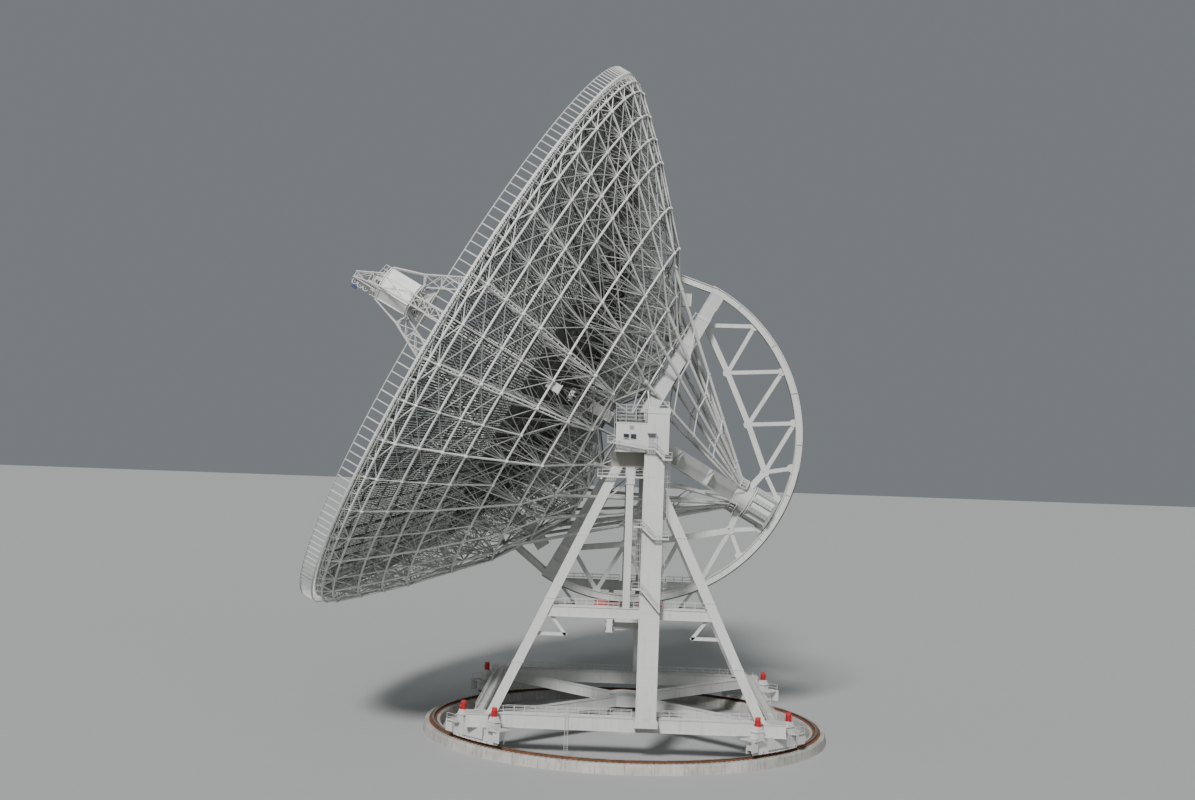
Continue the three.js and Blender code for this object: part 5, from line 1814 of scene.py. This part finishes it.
def arm_walkway(form, side):
    """The low service rails along the dish side of an upper arm."""
    root = Vector((*ARM_ROOT, 0))
    ahead = (Vector((*ARM_END, 0)) - root).normalized()
    start = root + ahead * 3.2
    across_arm = Vector((ahead.y, -ahead.x, 0))
    length = 22.5
    half = 1.05
    posts = 12

    def spot(along, aside, z):
        p = start + across_arm * aside + ahead * along
        return Vector((side * p.x, p.y, z))

    for aside in (-half, half):
        ends = spot(0, aside, 1.5), spot(length, aside, 1.5)
        form.tube(*ends, 0.11, 8)
        for k in range(posts + 1):
            p = between(*ends, k / posts)
            form.beam(p - Vector((0, 0, 0.55)), p, 0.1, 0.1)
    for k in range(posts + 1):
        along = length * k / posts
        form.beam(spot(along, -half, 1.45), spot(along, half, 1.45), 0.09, 0.07)


def build_bearing_fans():
    """Bars from the corners of the bearing joints to the deep joints of the ribs beside them."""
    form = Form()
    for side in (-1, 1):
        for way in (-1, 1):
            for height, spots in ((1.9, ((18.5, 22.5), (24.4, 37.5), (18.5, 7.5))), (-1.7, ((18.5, 22.5),))):
                corner = Vector((side * 17.6, way * 2.05, height))
                for r, degrees in spots:
                    a = way * degrees if side > 0 else 180 - way * degrees
                    form.tube(corner, rear_node(r, a), 0.12, 8)
    form.make("bearing_fans", "dish", LATTICE, 50)


def build_arm_flanges():
    """Edge angles and splices of the arms, and the square collars at the bearings."""
    form = Form()
    for way in (-1, 1):
        for side in (-1, 1):
            low, high = (side * 16.9, way * 3.2, ARM_LIFT), (side * 2.2, way * 22.4, ARM_LIFT)
            box_arm(form, low, high, ARM_WIDTH, ARM_DEPTH, spacing=7)
            if way > 0:
                arm_walkway(form, side)
        y0, y1 = sorted((way * 22.6, way * 27.3))
        for z in (-1.25, 1.01):
            form.box(-1.6, 1.6, y0, y1, z - 0.06, z + 0.06)
    for side in (-1, 1):
        box_arm(form, (side * 17.6, 0, -1.5), (side * 2.0, 0, -19.8), 2.7, 2.3, (side, 0, -0.85), 9)
        for x in (side * 17.3, side * 19.7):
            for w in (2.0, -2.0):
                form.beam((x, -2.05, w), (x, 2.05, w), 0.14, 0.14)
                form.beam((x, w, -2.0), (x, w, 2.0), 0.14, 0.14)
    form.make("dish_arm_flanges", "dish", ARM)


def build_wheel_arms():
    """The box arms from the bearings to the head blocks on the wheel, with a band round each joint."""
    joint = Form()
    for tag, way in (("upper", 1), ("lower", -1)):
        arm = Form()
        for side in (-1, 1):
            root, end = (Vector((side * x, way * y, ARM_LIFT)) for x, y in (ARM_ROOT, ARM_END))
            arm.beam(root, end, ARM_WIDTH, ARM_DEPTH)
            joint.beam(between(root, end, 0.865), between(root, end, 0.89), ARM_WIDTH + 0.2, ARM_DEPTH + 0.2)
        y0, y1 = sorted((way * 22.3, way * 27.4))
        arm.box(-1.5, 1.5, y0, y1, -1.19, 0.95)
        arm.make(f"wheel_arms_{tag}", "dish", ARM, replaces=[f"{tag}_arms"])
    joint.make("arm_joint_bands", "dish", WHITE)


def build_hub_flanges():
    hub = Form()
    outer = 6.994
    for z in (6.06, 7.7, 9.5):
        hub.ring([(6.9, z - 0.06), (outer + 0.1, z - 0.06), (outer + 0.1, z + 0.06), (6.9, z + 0.06)], 48)
    for k in range(24):
        hub.beam(polar(outer + 0.05, 15 * k, 6.1), polar(outer + 0.05, 15 * k, 9.5), 0.12, 0.12)
    for side in (-1, 1):
        bands(hub, (side * 17.2, 0, 0.98), (side * 6.4, 0, 6.04), 1.2, 1.3, 2.8, (0, 1, 0), 0.07, 0.1)
    for k in range(12):
        a = 30 * k + 15
        hub.tube(polar(3.42, a, 6.3), polar(6.9, a, 6.02), 0.12, 6)
    hub.rod((0, 0, HUB_FRONT + 0.01), (0, 0, 0), [(-0.1, 2.55), (0.02, 2.55), (0.02, 1.2), (0.3, 1.2)], 36)
    hub.bolts((0, 0, HUB_FRONT + 0.04), (0, 0, 1), 2.3, 24, 0.08)
    hub.make("hub_flanges", "dish", WHITE)


def build_trunnion_collars():
    collars = Form()
    levels = [(0.01, 1.55), (0.12, 1.55), (0.12, 1.2), (0.26, 1.2), (0.26, 0.9)]
    for side in (-1, 1):
        collars.rod((side * 19.8, 0, 0), (side * 21, 0, 0), levels, 32)
        collars.bolts((side * 19.93, 0, 0), (side, 0, 0), 1.38, 16, 0.07)
    collars.make("trunnion_collars", "dish", GREY, 30)


def build_counterweight():
    drum = Form()
    groove = [(0, 2.95), (0.14, 2.95), (0.14, 2.7), (0.36, 2.7), (0.36, 2.95), (0.5, 2.95)]
    drum.rod((0, 0, HUB_REAR), (0, 0, -30), groove + [(0.5, 2.55), (4.2, 2.55), (4.25, 2.4)], 40)
    drum.make("counterweight_drum_shell", "dish", WHITE, 30, replaces=["counterweight_drum"])
    slabs = Form()
    for i in range(10):
        a = 36 * i + 18
        out = polar(1, a, 0)
        for k in range(6):
            p = polar(2.66, a, HUB_REAR - 0.52 - 0.6 * k)
            slabs.beam(p, p - Vector((0, 0, 0.56)), 0.6, 0.52, out)
        for way in (-0.34, 0.34):
            aside = polar(way, a + 90, 0)
            slabs.beam(polar(2.68, a, -22.5) + aside, polar(2.68, a, -26.4) + aside, 0.06, 0.5, out)
    slabs.make("counterweight_slabs", "dish", GREY)
    bolts = Form()
    bolts.bolts((0, 0, HUB_REAR - 0.1), (0, 0, -1), 2.8, 30, 0.07)
    bolts.make("counterweight_bolts", "dish", GEAR)


UMBRELLA_HEADS = [19.8, 24.4, 24.4, 28.6, 19.8, 19.8, 28.6, 24.4, 24.4, 19.8]


def umbrella_tube(form, foot, head):
    """A tube of the cone with tapered ends, five collars and a ball at its head."""
    length = (head - foot).length
    levels = [(0, 0.2), (0.5, 0.27)]
    for share in (0.12, 0.32, 0.52, 0.72, 0.9):
        at = length * share
        levels += [(at - 0.1, 0.27), (at - 0.1, 0.34), (at + 0.1, 0.34), (at + 0.1, 0.27)]
    levels += [(length - 0.6, 0.27), (length - 0.1, 0.2)]
    form.rod(foot, head, levels, 16)
    form.knob(head - (head - foot).normalized() * 0.1, 0.5)


def build_umbrella():
    for tag, way in (("upper", 1), ("lower", -1)):
        form = Form()
        ends = []
        for k, r in enumerate(UMBRELLA_HEADS):
            foot = polar(1.9, way * (36 + 12 * k), -20.6)
            head = polar(r, way * (22.5 + RIB_STEP * k), rear(r) + 0.2)
            ends.append((foot, head))
            umbrella_tube(form, foot, head)
        for share in (0.32, 0.52, 0.72):
            for (f0, h0), (f1, h1) in zip(ends, ends[1:]):
                form.tube(between(f0, h0, share), between(f1, h1, share), 0.12, 8)
        for z0, z1 in ((-20.92, -20.78), (-19.74, -19.6)):
            form.ring([(2.42, z0), (3.2, z0), (3.2, z1), (2.42, z1)], 10, 30 if way > 0 else 210, 120)
        for k in range(11):
            a = way * (30 + 12 * k)
            form.beam(polar(2.42, a, -20.26), polar(3.1, a, -20.26), 0.08, 1.1)
        form.make(f"umbrella_cone_{tag}", "dish", WHITE, 40,
                  replaces=[f"umbrella_tubes_{tag}"])


# What stays of the frame's own solids

KEPT = (
    (GREY, ("trunnion_near", "trunnion_far")),
    # The rear arms and the hub take the arm paint, whose darker grey is painted shade.
    (ARM, ("rear_arms", "centre_hub")),
    (WHITE, ("base_frame", "tie_beam_near", "tie_beam_far", "drive_bridge")),
)


def dress_kept_solids():
    for finish, names in KEPT:
        for name in names:
            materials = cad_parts[name].data.materials
            materials.clear()
            materials.append(finish)


def build_ground_parts():
    build_track()
    build_pintle()
    build_base_frame()
    for place, angle in (("rear_near", 45), ("rear_far", 135), ("front_far", 225), ("front_near", 315)):
        build_truck(f"azimuth_truck_{place}", angle)


def build_alidade():
    for tag, side in (("near", 1), ("far", -1)):
        build_legs(tag, side)
        build_lift_shaft(tag, side)
        build_strut(tag, side)
        build_tie_beam(tag, side)
        build_tower_walkways(tag, side)
        build_column_access(tag, side)
        build_tower_head(tag, side)
        build_house(tag, side)
        build_house_trim(tag, side)
        build_roof_plant(tag, side)
        build_house_catwalks(tag, side)
    build_drive_bridge()
    build_drive_deck()
    build_elevation_drives()


def build_bowl():
    build_panels()
    build_slats()
    build_panel_backing()
    build_back_structure()
    build_lattice_boxes()
    build_rim_chords()
    build_rim_walkway()


def build_focus():
    for leg in range(4):
        build_focus_leg(leg)
    build_cabin()
    build_apex()
    build_receivers()
    build_secondary()
    build_vertex()


def build_mount():
    for tag, way in (("upper", 1), ("lower", -1)):
        build_wheel_rim(tag, way)
        build_wheel_truss(tag, way)
    build_rack()
    build_arm_flanges()
    build_wheel_arms()
    build_hub_flanges()
    build_trunnion_collars()
    build_bearing_fans()
    build_counterweight()
    build_umbrella()


set_camera()
set_light()
dress_kept_solids()
build_ground_parts()
build_alidade()
build_bowl()
build_focus()
build_mount()

bpy.context.view_layer.update()
